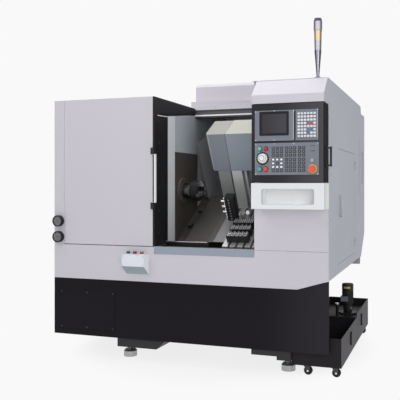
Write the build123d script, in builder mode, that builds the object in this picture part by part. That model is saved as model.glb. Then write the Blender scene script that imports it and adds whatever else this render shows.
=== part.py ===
from build123d import *
import math
import os

# A slant-bed turning lathe with gang tooling: a cast base with a bed that rises at 30 degrees to the
# back, a chucked spindle on the left, a saddle and cross slide carrying fixed tool blocks, a sheet
# metal enclosure with an L-shaped sliding door, a control console, and a coolant tank on casters.
# Units are millimetres. X runs to the right, Y to the back and Z up from the floor.

# Overall sizes
ENCLOSURE_W = 1800
BODY_D = 1533
TANK_PROUD = 65
FITTING_PROUD = 8
EAVE = 140
KNOB_PROUD = 28
LEFT = -(ENCLOSURE_W + TANK_PROUD + FITTING_PROUD) / 2
RIGHT = LEFT + ENCLOSURE_W
MID = LEFT + ENCLOSURE_W / 2
FRONT = -(BODY_D - EAVE - KNOB_PROUD) / 2
BACK = FRONT + BODY_D

# Sheet metal and fits
SHEET = 4
SEAT = 0.3
SEAM = 1
RUNNING = 0.05
PLAY = 3

# Heights above the floor
SKIRT_BOTTOM = 140
SKIRT_FLANGE = 10
BAND_BOTTOM = 500
BAND_CORNER = 555
BAND_TOP = 718
DOOR_BOTTOM = 722
ROOF_TOP = 1700
ROOF_STEP = 55
DOOR_TOP = ROOF_TOP - ROOF_STEP

# Places across the front
STRIP_W = 74
DOOR_W = 643
COLUMN_W = 440
CUT_CORNER_W = 183
DOOR_LEFT = LEFT + STRIP_W
DOOR_RIGHT = DOOR_LEFT + DOOR_W
COLUMN_LEFT = RIGHT - COLUMN_W
CHAMBER_LEFT = DOOR_RIGHT - 3
ROOF_LEFT = CHAMBER_LEFT - 46
BASE_LEFT = LEFT + 80
BED_LEFT = LEFT + 260
BED_RIGHT = RIGHT - 30
BASE_DOCK = RIGHT - 224

# Depths behind the front
DOOR_DEPTH = 40
HOUSING_FRONT = FRONT + 48
RAIL_FRONT = FRONT + 652
RAIL_BACK = FRONT + 690
HANGER_Z = DOOR_TOP - 43
CHANNEL_H = 29
CHANNEL_D = 12
WALL_BACK = FRONT + 1310
CABINET_STEP = 25

# The slope: every piece of the bed and carriage is placed by s, up the slope, and n, away from it
SLOPE = 30
SLOPE_Y = FRONT + 80
SLOPE_Z = 750
COS = math.cos(math.radians(SLOPE))
SIN = math.sin(math.radians(SLOPE))
SLANT = Plane(origin=(0, SLOPE_Y, SLOPE_Z), x_dir=(1, 0, 0), z_dir=(0, -SIN, COS))

# Spindle
SPINDLE_S = 459
SPINDLE_N = 95
SPINDLE_Y = SLOPE_Y + SPINDLE_S * COS - SPINDLE_N * SIN
SPINDLE_Z = SLOPE_Z + SPINDLE_S * SIN + SPINDLE_N * COS
SPINDLE_R = 50
BAR_BORE_R = 24
CHUCK_R = 69
CHUCK_BORE_R = 26
BAR_HOLE_R = 100
CHUCK_FACE = CHAMBER_LEFT + 131
CHUCK_L = 55
JAW_L = 28
JAW_W = 24
NOSE_L = 14
NOSE_R = 60

# Bed, saddle and cross slide, by their heights along n
BED_TOP = -150
WAY_H = 22
WAY_TOP = BED_TOP + WAY_H
SADDLE_T = 62
CROSS_WAY_H = 22
TABLE_T = 40
TABLE_BOTTOM = -TABLE_T
CROSS_WAY_TOP = TABLE_BOTTOM - SEAT
SADDLE_TOP = CROSS_WAY_TOP - CROSS_WAY_H
SADDLE_BOTTOM = WAY_TOP + SEAT
WAY_W = 60
LOWER_WAY_S = 150
UPPER_WAY_S = 560
TABLE_X = CHAMBER_LEFT + 428
SADDLE_X = TABLE_X + 20
SADDLE_L = 318
SADDLE_S0 = 125
SADDLE_S1 = 645
TABLE_W = 358
TABLE_S0 = -41
TABLE_S1 = 600
SLOT_PITCH = 47
SLOT_COUNT = 7
SLOT_X = TABLE_X + 41
SLOT_NECK_W = 14
SLOT_HEAD_W = 24
SLOT_NECK_H = 14
SLOT_HEAD_H = 10
SCREW_R = 9
SCREW_S = 385
SCREW_N = BED_TOP + 11

# Tooling
BLOCK_X = TABLE_X + 20
BLOCK_W = 136
BLOCK_D = 42
BLOCK_H = 45
BLOCK_S = 3
BLOCK_PITCH = 73
BLOCK_COUNT = 3
TOOLS_PER_BLOCK = 5
TOOL_PITCH = 25.5
SHANK = 16
CLAMP_T = 5
STAND_X = TABLE_X - 46
STAND_W = 59
STAND_S = 242
STAND_D = 58
STAND_H = 169
HOLDER_X = BLOCK_X + 14
BAR_COUNT = 8
BAR_PITCH = 19.6
BAR_R = 7

# Carriage cover
COVER_X = TABLE_X - 150
COVER_SEAM_X = COVER_X + 128
COVER_RIGHT = TABLE_X + TABLE_W
COVER_S0 = 392
COVER_S1 = 595
COVER_HEADROOM = 129.85
COVER_TOP = (DOOR_TOP - COVER_HEADROOM - SLOPE_Z - COVER_S1 * SIN) / COS
COVER_LOW = COVER_TOP - 257
COVER_STEP = 2
COVER_BEVEL = 18
TONGUE_N = 81

# Console, tray and hood
BOX_LEFT = RIGHT - 415
HOOD_BOTTOM = ROOF_TOP - 148
HOOD_EDGE = HOOD_BOTTOM + 48
CONSOLE_GAP = 443
TRAY_TOP = HOOD_BOTTOM - CONSOLE_GAP
TRAY_H = 145
TRAY_BOTTOM = TRAY_TOP - TRAY_H
HINGE_R = 5
CONSOLE_W = 411
PANEL_T = 3

# Feet, tank and casters
FOOT_R = 42
FOOT_PAD_H = 44
FOOT_STUD_R = 16
FOOT_NUT_R = 27
FOOT_NUT_H = 16
FOOT_BLOCK_X = LEFT + 455
BLOCK_BOTTOM = 85
TANK_RIGHT = RIGHT + TANK_PROUD
TANK_LEFT = BASE_DOCK + SEAT
TANK_FRONT = FRONT + 30
TANK_L = 1210
TANK_BOTTOM = 62
TANK_RIM = 228
TANK_REAR_RIM = 252
WEIR_Y = FRONT + 650
WHEEL_R = 25
WHEEL_T = 18
CASTER_TRAIL = 20
PIVOT_R = 6


def slope_yz(s, n):
    """Y and Z of a point that is given by its place on the slope."""
    return (SLOPE_Y + s * COS - n * SIN, SLOPE_Z + s * SIN + n * COS)


def block(x0, x1, y0, y1, z0, z1, mode=Mode.ADD):
    """A cuboid between two corners."""
    with Locations(((x0 + x1) / 2, (y0 + y1) / 2, (z0 + z1) / 2)):
        Box(x1 - x0, y1 - y0, z1 - z0, mode=mode)


def across(points, x0, x1, mode=Mode.ADD):
    """A profile in Y and Z, run across the machine from x0 to x1."""
    with BuildSketch(Plane.YZ.offset(x0)) as outline:
        with BuildLine():
            Polyline(*points, close=True)
        make_face()
    extrude(outline.sketch, amount=x1 - x0, mode=mode)


def rising(points, z0, z1, mode=Mode.ADD):
    """A profile in X and Y, run up from z0 to z1."""
    with BuildSketch(Plane.XY.offset(z0)) as outline:
        with BuildLine():
            Polyline(*points, close=True)
        make_face()
    extrude(outline.sketch, amount=z1 - z0, mode=mode)


def facing(points, y0, y1, mode=Mode.ADD):
    """A profile in X and Z, as seen from the front, run back from y0 to y1."""
    with BuildSketch(Plane.XZ.offset(-y1)) as outline:
        with BuildLine():
            Polyline(*points, close=True)
        make_face()
    extrude(outline.sketch, amount=y1 - y0, mode=mode)


def along_x(x0, x1, y, z, radius, mode=Mode.ADD):
    """A cylinder along X."""
    with Locations(Plane(origin=(x0, y, z), x_dir=(0, 1, 0), z_dir=(1, 0, 0)).location):
        Cylinder(radius, x1 - x0, align=(Align.CENTER, Align.CENTER, Align.MIN), mode=mode)


def along_y(y0, y1, x, z, radius, mode=Mode.ADD):
    """A cylinder along Y."""
    with Locations(Plane(origin=(x, y0, z), x_dir=(1, 0, 0), z_dir=(0, 1, 0)).location):
        Cylinder(radius, y1 - y0, align=(Align.CENTER, Align.CENTER, Align.MIN), mode=mode)


def along_z(z0, z1, x, y, radius, mode=Mode.ADD):
    """A cylinder along Z."""
    with Locations((x, y, z0)):
        Cylinder(radius, z1 - z0, align=(Align.CENTER, Align.CENTER, Align.MIN), mode=mode)


def slope_block(x0, x1, s0, s1, n0, n1, mode=Mode.ADD):
    """A cuboid that lies on the slope."""
    with Locations(SLANT.location * Location(((x0 + x1) / 2, (s0 + s1) / 2, (n0 + n1) / 2))):
        Box(x1 - x0, s1 - s0, n1 - n0, mode=mode)


def slope_section(points, x0, x1, mode=Mode.ADD):
    """A profile in s and n, run across the machine from x0 to x1."""
    across([slope_yz(s, n) for s, n in points], x0, x1, mode)


def slope_plan(points, n0, n1, mode=Mode.ADD):
    """A profile in X and s, run out from the slope from n0 to n1."""
    with BuildSketch(SLANT.offset(n0)) as outline:
        with BuildLine():
            Polyline(*points, close=True)
        make_face()
    extrude(outline.sketch, amount=n1 - n0, mode=mode)


os.makedirs("parts", exist_ok=True)

# Base and front

with BuildPart() as base_casting:
    base_right = BASE_DOCK - 36
    base_front = FRONT + 60
    base_back = FRONT + 1250
    base_top = BAND_BOTTOM + 60
    block(BASE_LEFT, base_right, base_front, base_back, SKIRT_BOTTOM + 10, base_top)
    # The slanted bed, its top along the slope and its back a buttress
    bed_low = slope_yz(60, BED_TOP)
    bed_high = slope_yz(760, BED_TOP)
    across([(bed_low[0], base_top - 1), bed_low, bed_high, (FRONT + 900, bed_high[1]),
            (FRONT + 1180, base_top - 1)], BED_LEFT, BED_RIGHT)
    for way_s in (LOWER_WAY_S, UPPER_WAY_S):
        slope_block(CHAMBER_LEFT + 33, BED_RIGHT - 10, way_s, way_s + WAY_W, BED_TOP - 1, WAY_TOP)
    # Bearing blocks of the long ball screw
    for bearing_x in (CHAMBER_LEFT + 25, BED_RIGHT - 32):
        slope_block(bearing_x, bearing_x + 30, SCREW_S - 20, SCREW_S + 20, BED_TOP - 1, WAY_TOP)
    screw_y, screw_z = slope_yz(SCREW_S, SCREW_N)
    along_x(CHAMBER_LEFT + 20, BED_RIGHT + 10, screw_y, screw_z, SCREW_R + RUNNING, Mode.SUBTRACT)
    # Foot blocks, a slanted one on the left and a stepped one on the right
    for y0, y1 in ((FRONT + SKIRT_FLANGE, FRONT + 200), (base_back - 160, base_back)):
        facing([(FOOT_BLOCK_X, SKIRT_BOTTOM + 11), (FOOT_BLOCK_X, BLOCK_BOTTOM),
                (FOOT_BLOCK_X + 270, BLOCK_BOTTOM), (FOOT_BLOCK_X + 339, SKIRT_BOTTOM + 11)], y0, y1)
        facing([(BASE_DOCK - 238, SKIRT_BOTTOM + 11), (BASE_DOCK - 238, BLOCK_BOTTOM + 21),
                (BASE_DOCK - 84, BLOCK_BOTTOM + 21), (BASE_DOCK - 84, BLOCK_BOTTOM),
                (BASE_DOCK, BLOCK_BOTTOM), (BASE_DOCK, SKIRT_BOTTOM + 11)], y0, y1)
    block(BASE_LEFT, BASE_DOCK, FRONT + SKIRT_FLANGE, base_front + 1, SKIRT_BOTTOM + 10, SKIRT_BOTTOM + 30)
    block(base_right - 1, BASE_DOCK, base_front, base_back, SKIRT_BOTTOM + 10, SKIRT_BOTTOM + 30)
base_casting.part.label = "base_casting"
export_step(base_casting.part, "parts/base_casting.step")

foot_places = [(x, FRONT + y) for x in (FOOT_BLOCK_X + 27, BASE_DOCK - 43) for y in (130, 1170)]
with BuildPart() as leveling_feet:
    for foot_x, foot_y in foot_places:
        along_z(0, FOOT_PAD_H, foot_x, foot_y, FOOT_R)
    chamfer(leveling_feet.edges().group_by(Axis.Z)[-1], length=10)
    for foot_x, foot_y in foot_places:
        along_z(FOOT_PAD_H - 1, BLOCK_BOTTOM, foot_x, foot_y, FOOT_STUD_R)
    # Lock nuts, tightened against the foot blocks
    with BuildSketch(Plane.XY.offset(BLOCK_BOTTOM - FOOT_NUT_H)) as nuts:
        with Locations(*foot_places):
            RegularPolygon(FOOT_NUT_R, 6)
    extrude(nuts.sketch, amount=FOOT_NUT_H)
leveling_feet.part.label = "leveling_feet"
export_step(leveling_feet.part, "parts/leveling_feet.step")

with BuildPart() as front_skirt:
    facing([(LEFT, SKIRT_BOTTOM), (RIGHT, SKIRT_BOTTOM), (RIGHT, BAND_CORNER),
            (RIGHT - CUT_CORNER_W, BAND_BOTTOM), (LEFT, BAND_BOTTOM)], FRONT, FRONT + SHEET)
    # The left side wall, and a flange along the bottom edge that is bolted to the foot blocks
    block(LEFT, LEFT + SHEET, FRONT + SHEET - 1, FRONT + 1290, SKIRT_BOTTOM, BAND_BOTTOM)
    block(LEFT, RIGHT, FRONT + 1, FRONT + SKIRT_FLANGE, SKIRT_BOTTOM, SKIRT_BOTTOM + SHEET)
front_skirt.part.label = "front_skirt"
export_step(front_skirt.part, "parts/front_skirt.step")

with BuildPart() as inspection_panel:
    panel_x0, panel_x1, panel_z0, panel_z1 = LEFT + 45, LEFT + 443, 180, 426
    with BuildSketch(Plane.XZ.offset(-FRONT)) as panel_outline:
        with Locations(((panel_x0 + panel_x1) / 2, (panel_z0 + panel_z1) / 2)):
            RectangleRounded(panel_x1 - panel_x0, panel_z1 - panel_z0, 8)
    extrude(panel_outline.sketch, amount=PANEL_T)
    chamfer(inspection_panel.faces().sort_by(Axis.Y)[0].edges(), length=2)
inspection_panel.part.label = "inspection_panel"
export_step(inspection_panel.part, "parts/inspection_panel.step")

with BuildPart() as front_panel:
    facing([(LEFT, BAND_BOTTOM + SEAM), (RIGHT - CUT_CORNER_W, BAND_BOTTOM + SEAM),
            (RIGHT - SHEET, BAND_CORNER), (RIGHT - SHEET, BAND_TOP),
            (DOOR_LEFT - SEAM, BAND_TOP), (DOOR_LEFT - SEAM, DOOR_TOP), (LEFT, DOOR_TOP)],
           FRONT, FRONT + SHEET)
    block(CHAMBER_LEFT, COLUMN_LEFT, FRONT + SHEET - 1, FRONT + 42, BAND_TOP - SHEET, BAND_TOP)
front_panel.part.label = "front_panel"
export_step(front_panel.part, "parts/front_panel.step")

# Enclosure

HOUSING_TOP = [(HOUSING_FRONT, DOOR_TOP - 108), (FRONT + 194, DOOR_TOP - 102), (FRONT + 560, DOOR_TOP - 57),
               (RAIL_FRONT, DOOR_TOP - 53)]
CHANNEL = [(RAIL_FRONT, HANGER_Z), (RAIL_FRONT + CHANNEL_D, HANGER_Z),
           (RAIL_FRONT + CHANNEL_D, HANGER_Z + CHANNEL_H), (RAIL_FRONT, HANGER_Z + CHANNEL_H)]

with BuildPart() as left_housing:
    block(LEFT, LEFT + SHEET, FRONT + SHEET, WALL_BACK, BAND_BOTTOM, DOOR_TOP)
    # Inner front and roof under the door, then the channel of its hangers and the rear roof
    outer = [(HOUSING_FRONT, BAND_TOP)] + HOUSING_TOP
    inner = [(y + SHEET, z - SHEET) for y, z in reversed(HOUSING_TOP)]
    across(outer + CHANNEL + [(RAIL_FRONT, DOOR_TOP), (WALL_BACK, DOOR_TOP), (WALL_BACK, DOOR_TOP - SHEET),
                              (RAIL_FRONT + SHEET, DOOR_TOP - SHEET)]
           + [(y + SHEET, z + SHEET * (1 if z > CHANNEL[0][1] else -1)) for y, z in reversed(CHANNEL)]
           + inner + [(HOUSING_FRONT + SHEET, BAND_TOP)], LEFT + SHEET - 1, CHAMBER_LEFT - SHEET)
    block(LEFT, DOOR_LEFT - SEAM, FRONT + SHEET, RAIL_FRONT + 1, DOOR_TOP - SHEET, DOOR_TOP)
    # The hole that long bars pass through, wide enough for a hand at the tail of the spindle
    along_x(LEFT - 1, LEFT + SHEET + 1, SPINDLE_Y, SPINDLE_Z, BAR_HOLE_R, Mode.SUBTRACT)
left_housing.part.label = "left_housing"
export_step(left_housing.part, "parts/left_housing.step")

face_y0, face_y1, face_z0, face_z1 = FRONT + 306, FRONT + 700, 748, 1320
with BuildPart() as inner_wall:
    across([(HOUSING_FRONT, BAND_TOP), (HOUSING_FRONT, HOUSING_TOP[0][1]), HOUSING_TOP[1],
            HOUSING_TOP[2], HOUSING_TOP[3], (RAIL_BACK + SHEET, HOUSING_TOP[3][1]),
            (RAIL_BACK + SHEET, ROOF_TOP - SHEET), (WALL_BACK, ROOF_TOP - SHEET),
            (WALL_BACK, 1010), (FRONT + 812, 1010), (FRONT + 320, BAND_TOP)],
           CHAMBER_LEFT - SHEET, CHAMBER_LEFT)
    block(CHAMBER_LEFT - 10, CHAMBER_LEFT + 10, face_y0, face_y1, face_z0 - 60, face_z1, Mode.SUBTRACT)
inner_wall.part.label = "inner_wall"
export_step(inner_wall.part, "parts/inner_wall.step")

with BuildPart() as right_column:
    block(COLUMN_LEFT, RIGHT - SHEET, FRONT, FRONT + SHEET, BAND_TOP + SEAM, ROOF_TOP - SHEET)
    block(COLUMN_LEFT, COLUMN_LEFT + SHEET, FRONT, FRONT + 36, BAND_TOP + SEAM, ROOF_TOP - SHEET)
    # The hood over the console: a hollow eave with a sloping top and a closed left end
    eave = [(FRONT + SHEET, HOOD_BOTTOM), (FRONT - EAVE, HOOD_BOTTOM), (FRONT - EAVE, HOOD_EDGE),
            (FRONT - 33, ROOF_TOP - SHEET), (FRONT + SHEET, ROOF_TOP - SHEET)]
    across(eave, BOX_LEFT, RIGHT - SHEET)
    hollow = [(FRONT + SHEET, HOOD_BOTTOM + SHEET), (FRONT - EAVE + SHEET, HOOD_BOTTOM + SHEET),
              (FRONT - EAVE + SHEET, HOOD_EDGE - 1.5), (FRONT - 31, ROOF_TOP - 2 * SHEET),
              (FRONT + SHEET, ROOF_TOP - 2 * SHEET)]
    across(hollow, BOX_LEFT + SHEET, RIGHT, Mode.SUBTRACT)
    hinge_x, hinge_y = BOX_LEFT + 12, FRONT - EAVE + 10
    along_z(HOOD_BOTTOM - 1, HOOD_BOTTOM + SHEET + 1, hinge_x, hinge_y, HINGE_R + RUNNING, Mode.SUBTRACT)
right_column.part.label = "right_column"
export_step(right_column.part, "parts/right_column.step")

side_door_y0, side_door_y1, side_door_z0, side_door_z1 = FRONT + 299, FRONT + 1007, 615, 1322
vent_y0, vent_y1, vent_z0, vent_z1 = FRONT + 1340, FRONT + 1450, 1110, 1359
KNUCKLE_R = 4
KNUCKLE_L = 28
PIN_R = 2
pin_x, pin_y = RIGHT + KNUCKLE_R + SEAT, side_door_y1 - 1
hinge_zs = (side_door_z0 + 80, side_door_z1 - 80)
with BuildPart() as right_side_panel:
    across([(FRONT, BAND_CORNER + SEAM), (FRONT + 1335, BAND_CORNER + SEAM), (BACK, 728),
            (BACK, DOOR_TOP), (WALL_BACK + CABINET_STEP, DOOR_TOP), (WALL_BACK, ROOF_TOP),
            (FRONT - 33, ROOF_TOP), (FRONT - EAVE, HOOD_EDGE), (FRONT - EAVE, HOOD_BOTTOM),
            (FRONT, HOOD_BOTTOM)], RIGHT - SHEET, RIGHT)
    block(RIGHT - 10, RIGHT + 10, side_door_y0, side_door_y1, side_door_z0, side_door_z1, Mode.SUBTRACT)
    block(RIGHT - 10, RIGHT + 10, vent_y0, vent_y1, vent_z0, vent_z1, Mode.SUBTRACT)
    # The raised cover plate round the vent
    cover_edge = [(FRONT + 1247, 1032), (FRONT + 1483, 1457)]
    block(RIGHT - 1, RIGHT + 2, cover_edge[0][0], cover_edge[1][0], cover_edge[0][1], cover_edge[1][1])
    block(RIGHT - 10, RIGHT + 10, vent_y0, vent_y1, vent_z0, vent_z1, Mode.SUBTRACT)
    # Upper knuckles of the door hinges, bored for the pins below them
    for knuckle_z in hinge_zs:
        block(RIGHT - 1, RIGHT + 2, side_door_y1 + 1, side_door_y1 + 26, knuckle_z, knuckle_z + KNUCKLE_L)
        along_z(knuckle_z, knuckle_z + KNUCKLE_L, pin_x, pin_y, KNUCKLE_R)
        block(RIGHT, pin_x, pin_y, side_door_y1 + 2, knuckle_z, knuckle_z + KNUCKLE_L)
        along_z(knuckle_z - 1, knuckle_z + KNUCKLE_L - 5, pin_x, pin_y, PIN_R + RUNNING, Mode.SUBTRACT)
right_side_panel.part.label = "right_side_panel"
export_step(right_side_panel.part, "parts/right_side_panel.step")

with BuildPart() as vent_grille:
    block(RIGHT - SHEET, RIGHT + 4, vent_y0, vent_y1, vent_z0, vent_z1)
    louvre_count = 12
    louvre_pitch = (vent_z1 - vent_z0) / (louvre_count + 1)
    for louvre in range(louvre_count):
        louvre_z = vent_z0 + louvre_pitch * (louvre + 1)
        block(RIGHT - 1, RIGHT + 5, vent_y0 + 10, vent_y1 - 10, louvre_z - 5, louvre_z + 5, Mode.SUBTRACT)
vent_grille.part.label = "vent_grille"
export_step(vent_grille.part, "parts/vent_grille.step")

with BuildPart() as roof_panel:
    rising([(ROOF_LEFT, RAIL_BACK), (COLUMN_LEFT, RAIL_BACK), (COLUMN_LEFT, FRONT - 33),
            (RIGHT - SHEET, FRONT - 33), (RIGHT - SHEET, WALL_BACK), (ROOF_LEFT, WALL_BACK)],
           ROOF_TOP - SHEET, ROOF_TOP)
    # Fascia over the guide rail, left cheek and right cheek
    facing([(ROOF_LEFT, DOOR_TOP), (CHAMBER_LEFT, DOOR_TOP), (CHAMBER_LEFT, DOOR_TOP - 5),
            (COLUMN_LEFT + SHEET, DOOR_TOP - 5), (COLUMN_LEFT + SHEET, ROOF_TOP - 1),
            (ROOF_LEFT, ROOF_TOP - 1)], RAIL_BACK, RAIL_BACK + SHEET)
    block(ROOF_LEFT, ROOF_LEFT + SHEET, RAIL_BACK, WALL_BACK, DOOR_TOP, ROOF_TOP - 1)
    block(COLUMN_LEFT, COLUMN_LEFT + SHEET, FRONT + 36, RAIL_BACK + 1, DOOR_TOP + 5, ROOF_TOP - 1)
    # The raised box behind the hood
    across([(FRONT + 733, ROOF_TOP - 1), (FRONT + 733, ROOF_TOP + 110), (FRONT + 775, ROOF_TOP + 136),
            (FRONT + 1110, ROOF_TOP + 136), (FRONT + 1150, ROOF_TOP + 110), (FRONT + 1150, ROOF_TOP - 1)],
           ROOF_LEFT + 19, RIGHT - 280)
roof_panel.part.label = "roof_panel"
export_step(roof_panel.part, "parts/roof_panel.step")

CABINET_DOOR_Z0, CABINET_DOOR_Z1 = 770, DOOR_TOP - 35
cabinet_door_h = CABINET_DOOR_Z1 - CABINET_DOOR_Z0
with BuildPart() as electrical_cabinet:
    across([(WALL_BACK, BAND_BOTTOM), (WALL_BACK + CABINET_STEP, BAND_CORNER), (BACK, 728),
            (BACK, DOOR_TOP), (WALL_BACK + CABINET_STEP, DOOR_TOP), (WALL_BACK, ROOF_TOP - SHEET)],
           LEFT, RIGHT - SHEET)
    # The seams of its two doors at the back
    with BuildSketch(Plane.XZ.offset(-BACK)) as seams:
        with Locations((MID, (CABINET_DOOR_Z0 + CABINET_DOOR_Z1) / 2)):
            Rectangle(ENCLOSURE_W - 80, cabinet_door_h)
            with GridLocations((ENCLOSURE_W - 80) / 2 + 1, 0, 2, 1):
                Rectangle((ENCLOSURE_W - 80) / 2 - 5, cabinet_door_h - 6, mode=Mode.SUBTRACT)
    extrude(seams.sketch, amount=3, mode=Mode.SUBTRACT)
electrical_cabinet.part.label = "electrical_cabinet"
export_step(electrical_cabinet.part, "parts/electrical_cabinet.step")

with BuildPart() as guide_rail:
    across([(RAIL_FRONT, HANGER_Z - 25), (RAIL_BACK, HANGER_Z - 25), (RAIL_BACK, ROOF_TOP - 30),
            (RAIL_BACK - SHEET, ROOF_TOP - 30), (RAIL_BACK - SHEET, DOOR_TOP - 5),
            (RAIL_FRONT, DOOR_TOP - 5)] + CHANNEL[::-1], CHAMBER_LEFT, COLUMN_LEFT)
guide_rail.part.label = "guide_rail"
export_step(guide_rail.part, "parts/guide_rail.step")

# Sliding door

with BuildPart() as sliding_door:
    door_body_right = DOOR_RIGHT - 12
    across([(FRONT, DOOR_BOTTOM), (FRONT + DOOR_DEPTH, DOOR_BOTTOM),
            (FRONT + DOOR_DEPTH, DOOR_BOTTOM + SHEET), (FRONT + SHEET, DOOR_BOTTOM + SHEET),
            (FRONT + SHEET, DOOR_TOP - SHEET), (RAIL_FRONT - 8, DOOR_TOP - SHEET),
            (RAIL_FRONT - 8, DOOR_TOP - 40), (RAIL_FRONT - 4, DOOR_TOP - 40),
            (RAIL_FRONT - 4, DOOR_TOP), (FRONT, DOOR_TOP)], DOOR_LEFT, door_body_right)
    across([(FRONT, DOOR_BOTTOM), (FRONT + DOOR_DEPTH, DOOR_BOTTOM), (FRONT + DOOR_DEPTH, DOOR_TOP - 40),
            (RAIL_FRONT - 4, DOOR_TOP - 40), (RAIL_FRONT - 4, DOOR_TOP), (FRONT, DOOR_TOP)],
           DOOR_LEFT, DOOR_LEFT + SHEET)
    # Two hangers slide in the channel behind the roof of the door
    for hanger_x in (DOOR_LEFT + 60, door_body_right - 60):
        block(hanger_x - 30, hanger_x + 30, RAIL_FRONT - 6, RAIL_FRONT + CHANNEL_D - SEAT,
              HANGER_Z + SEAT, HANGER_Z + CHANNEL_H - SEAT)
sliding_door.part.label = "sliding_door"
export_step(sliding_door.part, "parts/sliding_door.step")

with BuildPart() as door_end_frame:
    # Its roof edge runs a small gap above the housing that it slides over
    across([(FRONT, DOOR_BOTTOM), (HOUSING_FRONT - 4, DOOR_BOTTOM),
            (HOUSING_FRONT - 4, HOUSING_TOP[0][1] + 8)] + [(y, z + 8) for y, z in HOUSING_TOP[1:3]]
           + [(RAIL_FRONT - 4, HOUSING_TOP[3][1] + 8), (RAIL_FRONT - 4, DOOR_TOP), (FRONT, DOOR_TOP)],
           door_body_right, DOOR_RIGHT)
door_end_frame.part.label = "door_end_frame"
export_step(door_end_frame.part, "parts/door_end_frame.step")

handle_x = DOOR_RIGHT + 19
with BuildPart() as door_handle:
    block(handle_x - 6, handle_x + 6, FRONT - 34, FRONT - 22, 990, 1290)
    for mount_z in (972, 1308):
        rising([(handle_x + 6, FRONT - 36), (handle_x + 6, FRONT - 20), (DOOR_RIGHT - 2, FRONT),
                (DOOR_RIGHT - 22, FRONT), (DOOR_RIGHT - 22, FRONT - 10), (handle_x - 8, FRONT - 36)],
               mount_z - 20, mount_z + 20)
door_handle.part.label = "door_handle"
export_step(door_handle.part, "parts/door_handle.step")

# Chamber linings

CHUTE_S0 = 72
CHUTE_S1 = 640
CHUTE_LEFT = CHAMBER_LEFT + 126
CHUTE_RIGHT = TABLE_X - 137
GUARD_X = CHAMBER_LEFT + 109
GUARD_S0 = 600
GUARD_S1 = 806
with BuildPart() as chute_plates:
    plate_low, plate_high = -58, -55
    slope_block(CHUTE_LEFT, CHUTE_RIGHT, CHUTE_S0, CHUTE_S1, plate_low, plate_high)
    # A low rim keeps the chips off the spindle nose, and a lip closes the front
    slope_block(CHUTE_LEFT, CHUTE_LEFT + 3, CHUTE_S0, CHUTE_S1, plate_low, plate_high + 6)
    lip_y, lip_z = slope_yz(CHUTE_S0, plate_high)
    block(CHAMBER_LEFT, CHUTE_RIGHT, lip_y, lip_y + 3, BAND_TOP - 20, lip_z - 1)
    # The fixed guard plate behind the chuck
    slope_section([(GUARD_S0, plate_high), (GUARD_S1, plate_high), (GUARD_S1, COVER_TOP - 196),
                   (GUARD_S0, COVER_TOP - 177)], GUARD_X, GUARD_X + 3)
    slope_block(GUARD_X, CHUTE_LEFT + 1, GUARD_S0, CHUTE_S1, plate_low, plate_high)
    slope_block(RIGHT - 90, RIGHT - 22, CHUTE_S0, CHUTE_S1, plate_low, plate_high)
    slope_block(RIGHT - 38, RIGHT - 32, 290, 340, BED_TOP, plate_low + 1)
    # The stainless sill under the opening, folded over the front panel's top edge
    across([(FRONT - 2, 676), (FRONT, 676), (FRONT, BAND_TOP), (FRONT + 42, BAND_TOP),
            (FRONT + 42, DOOR_BOTTOM - SEAT), (FRONT - 2, DOOR_BOTTOM - SEAT)], CHAMBER_LEFT, COLUMN_LEFT)
chute_plates.part.label = "chute_plates"
export_step(chute_plates.part, "parts/chute_plates.step")

# Headstock and drive

with BuildPart() as headstock:
    foot_y0, foot_y1 = face_y0 + 2, face_y1 - 2
    bed_rise = math.tan(math.radians(SLOPE))
    bed_z = bed_low[1] + (foot_y0 - bed_low[0]) * bed_rise
    across([(foot_y0, bed_z), (foot_y1, bed_z + (foot_y1 - foot_y0) * bed_rise), (foot_y1, face_z1 - 2),
            (foot_y0, face_z1 - 2)], BED_LEFT, CHAMBER_LEFT)
    along_x(CHAMBER_LEFT - 1, CHAMBER_LEFT + 18, SPINDLE_Y, SPINDLE_Z, 88)
    along_x(BED_LEFT - 1, CHAMBER_LEFT + 19, SPINDLE_Y, SPINDLE_Z, SPINDLE_R + RUNNING, Mode.SUBTRACT)
    # Cap screws round the nose ring
    with Locations(Plane(origin=(CHAMBER_LEFT + 17, SPINDLE_Y, SPINDLE_Z), x_dir=(0, 1, 0),
                         z_dir=(1, 0, 0)).location):
        with PolarLocations(74, 8):
            Cylinder(6, 7, align=(Align.CENTER, Align.CENTER, Align.MIN))
headstock.part.label = "headstock"
export_step(headstock.part, "parts/headstock.step")

PULLEY_X0, PULLEY_X1 = BED_LEFT - 62, BED_LEFT - 22
BIG_PULLEY_R = 80
SPINDLE_TAIL = BED_LEFT - 120
with BuildPart() as spindle:
    along_x(SPINDLE_TAIL, CHUCK_FACE - CHUCK_L, SPINDLE_Y, SPINDLE_Z, SPINDLE_R)
    along_x(CHUCK_FACE - CHUCK_L - NOSE_L, CHUCK_FACE - CHUCK_L, SPINDLE_Y, SPINDLE_Z, NOSE_R)
    along_x(PULLEY_X0, PULLEY_X1, SPINDLE_Y, SPINDLE_Z, BIG_PULLEY_R)
    along_x(SPINDLE_TAIL - 1, CHUCK_FACE, SPINDLE_Y, SPINDLE_Z, BAR_BORE_R, Mode.SUBTRACT)
spindle.part.label = "spindle"
export_step(spindle.part, "parts/spindle.step")

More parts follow.
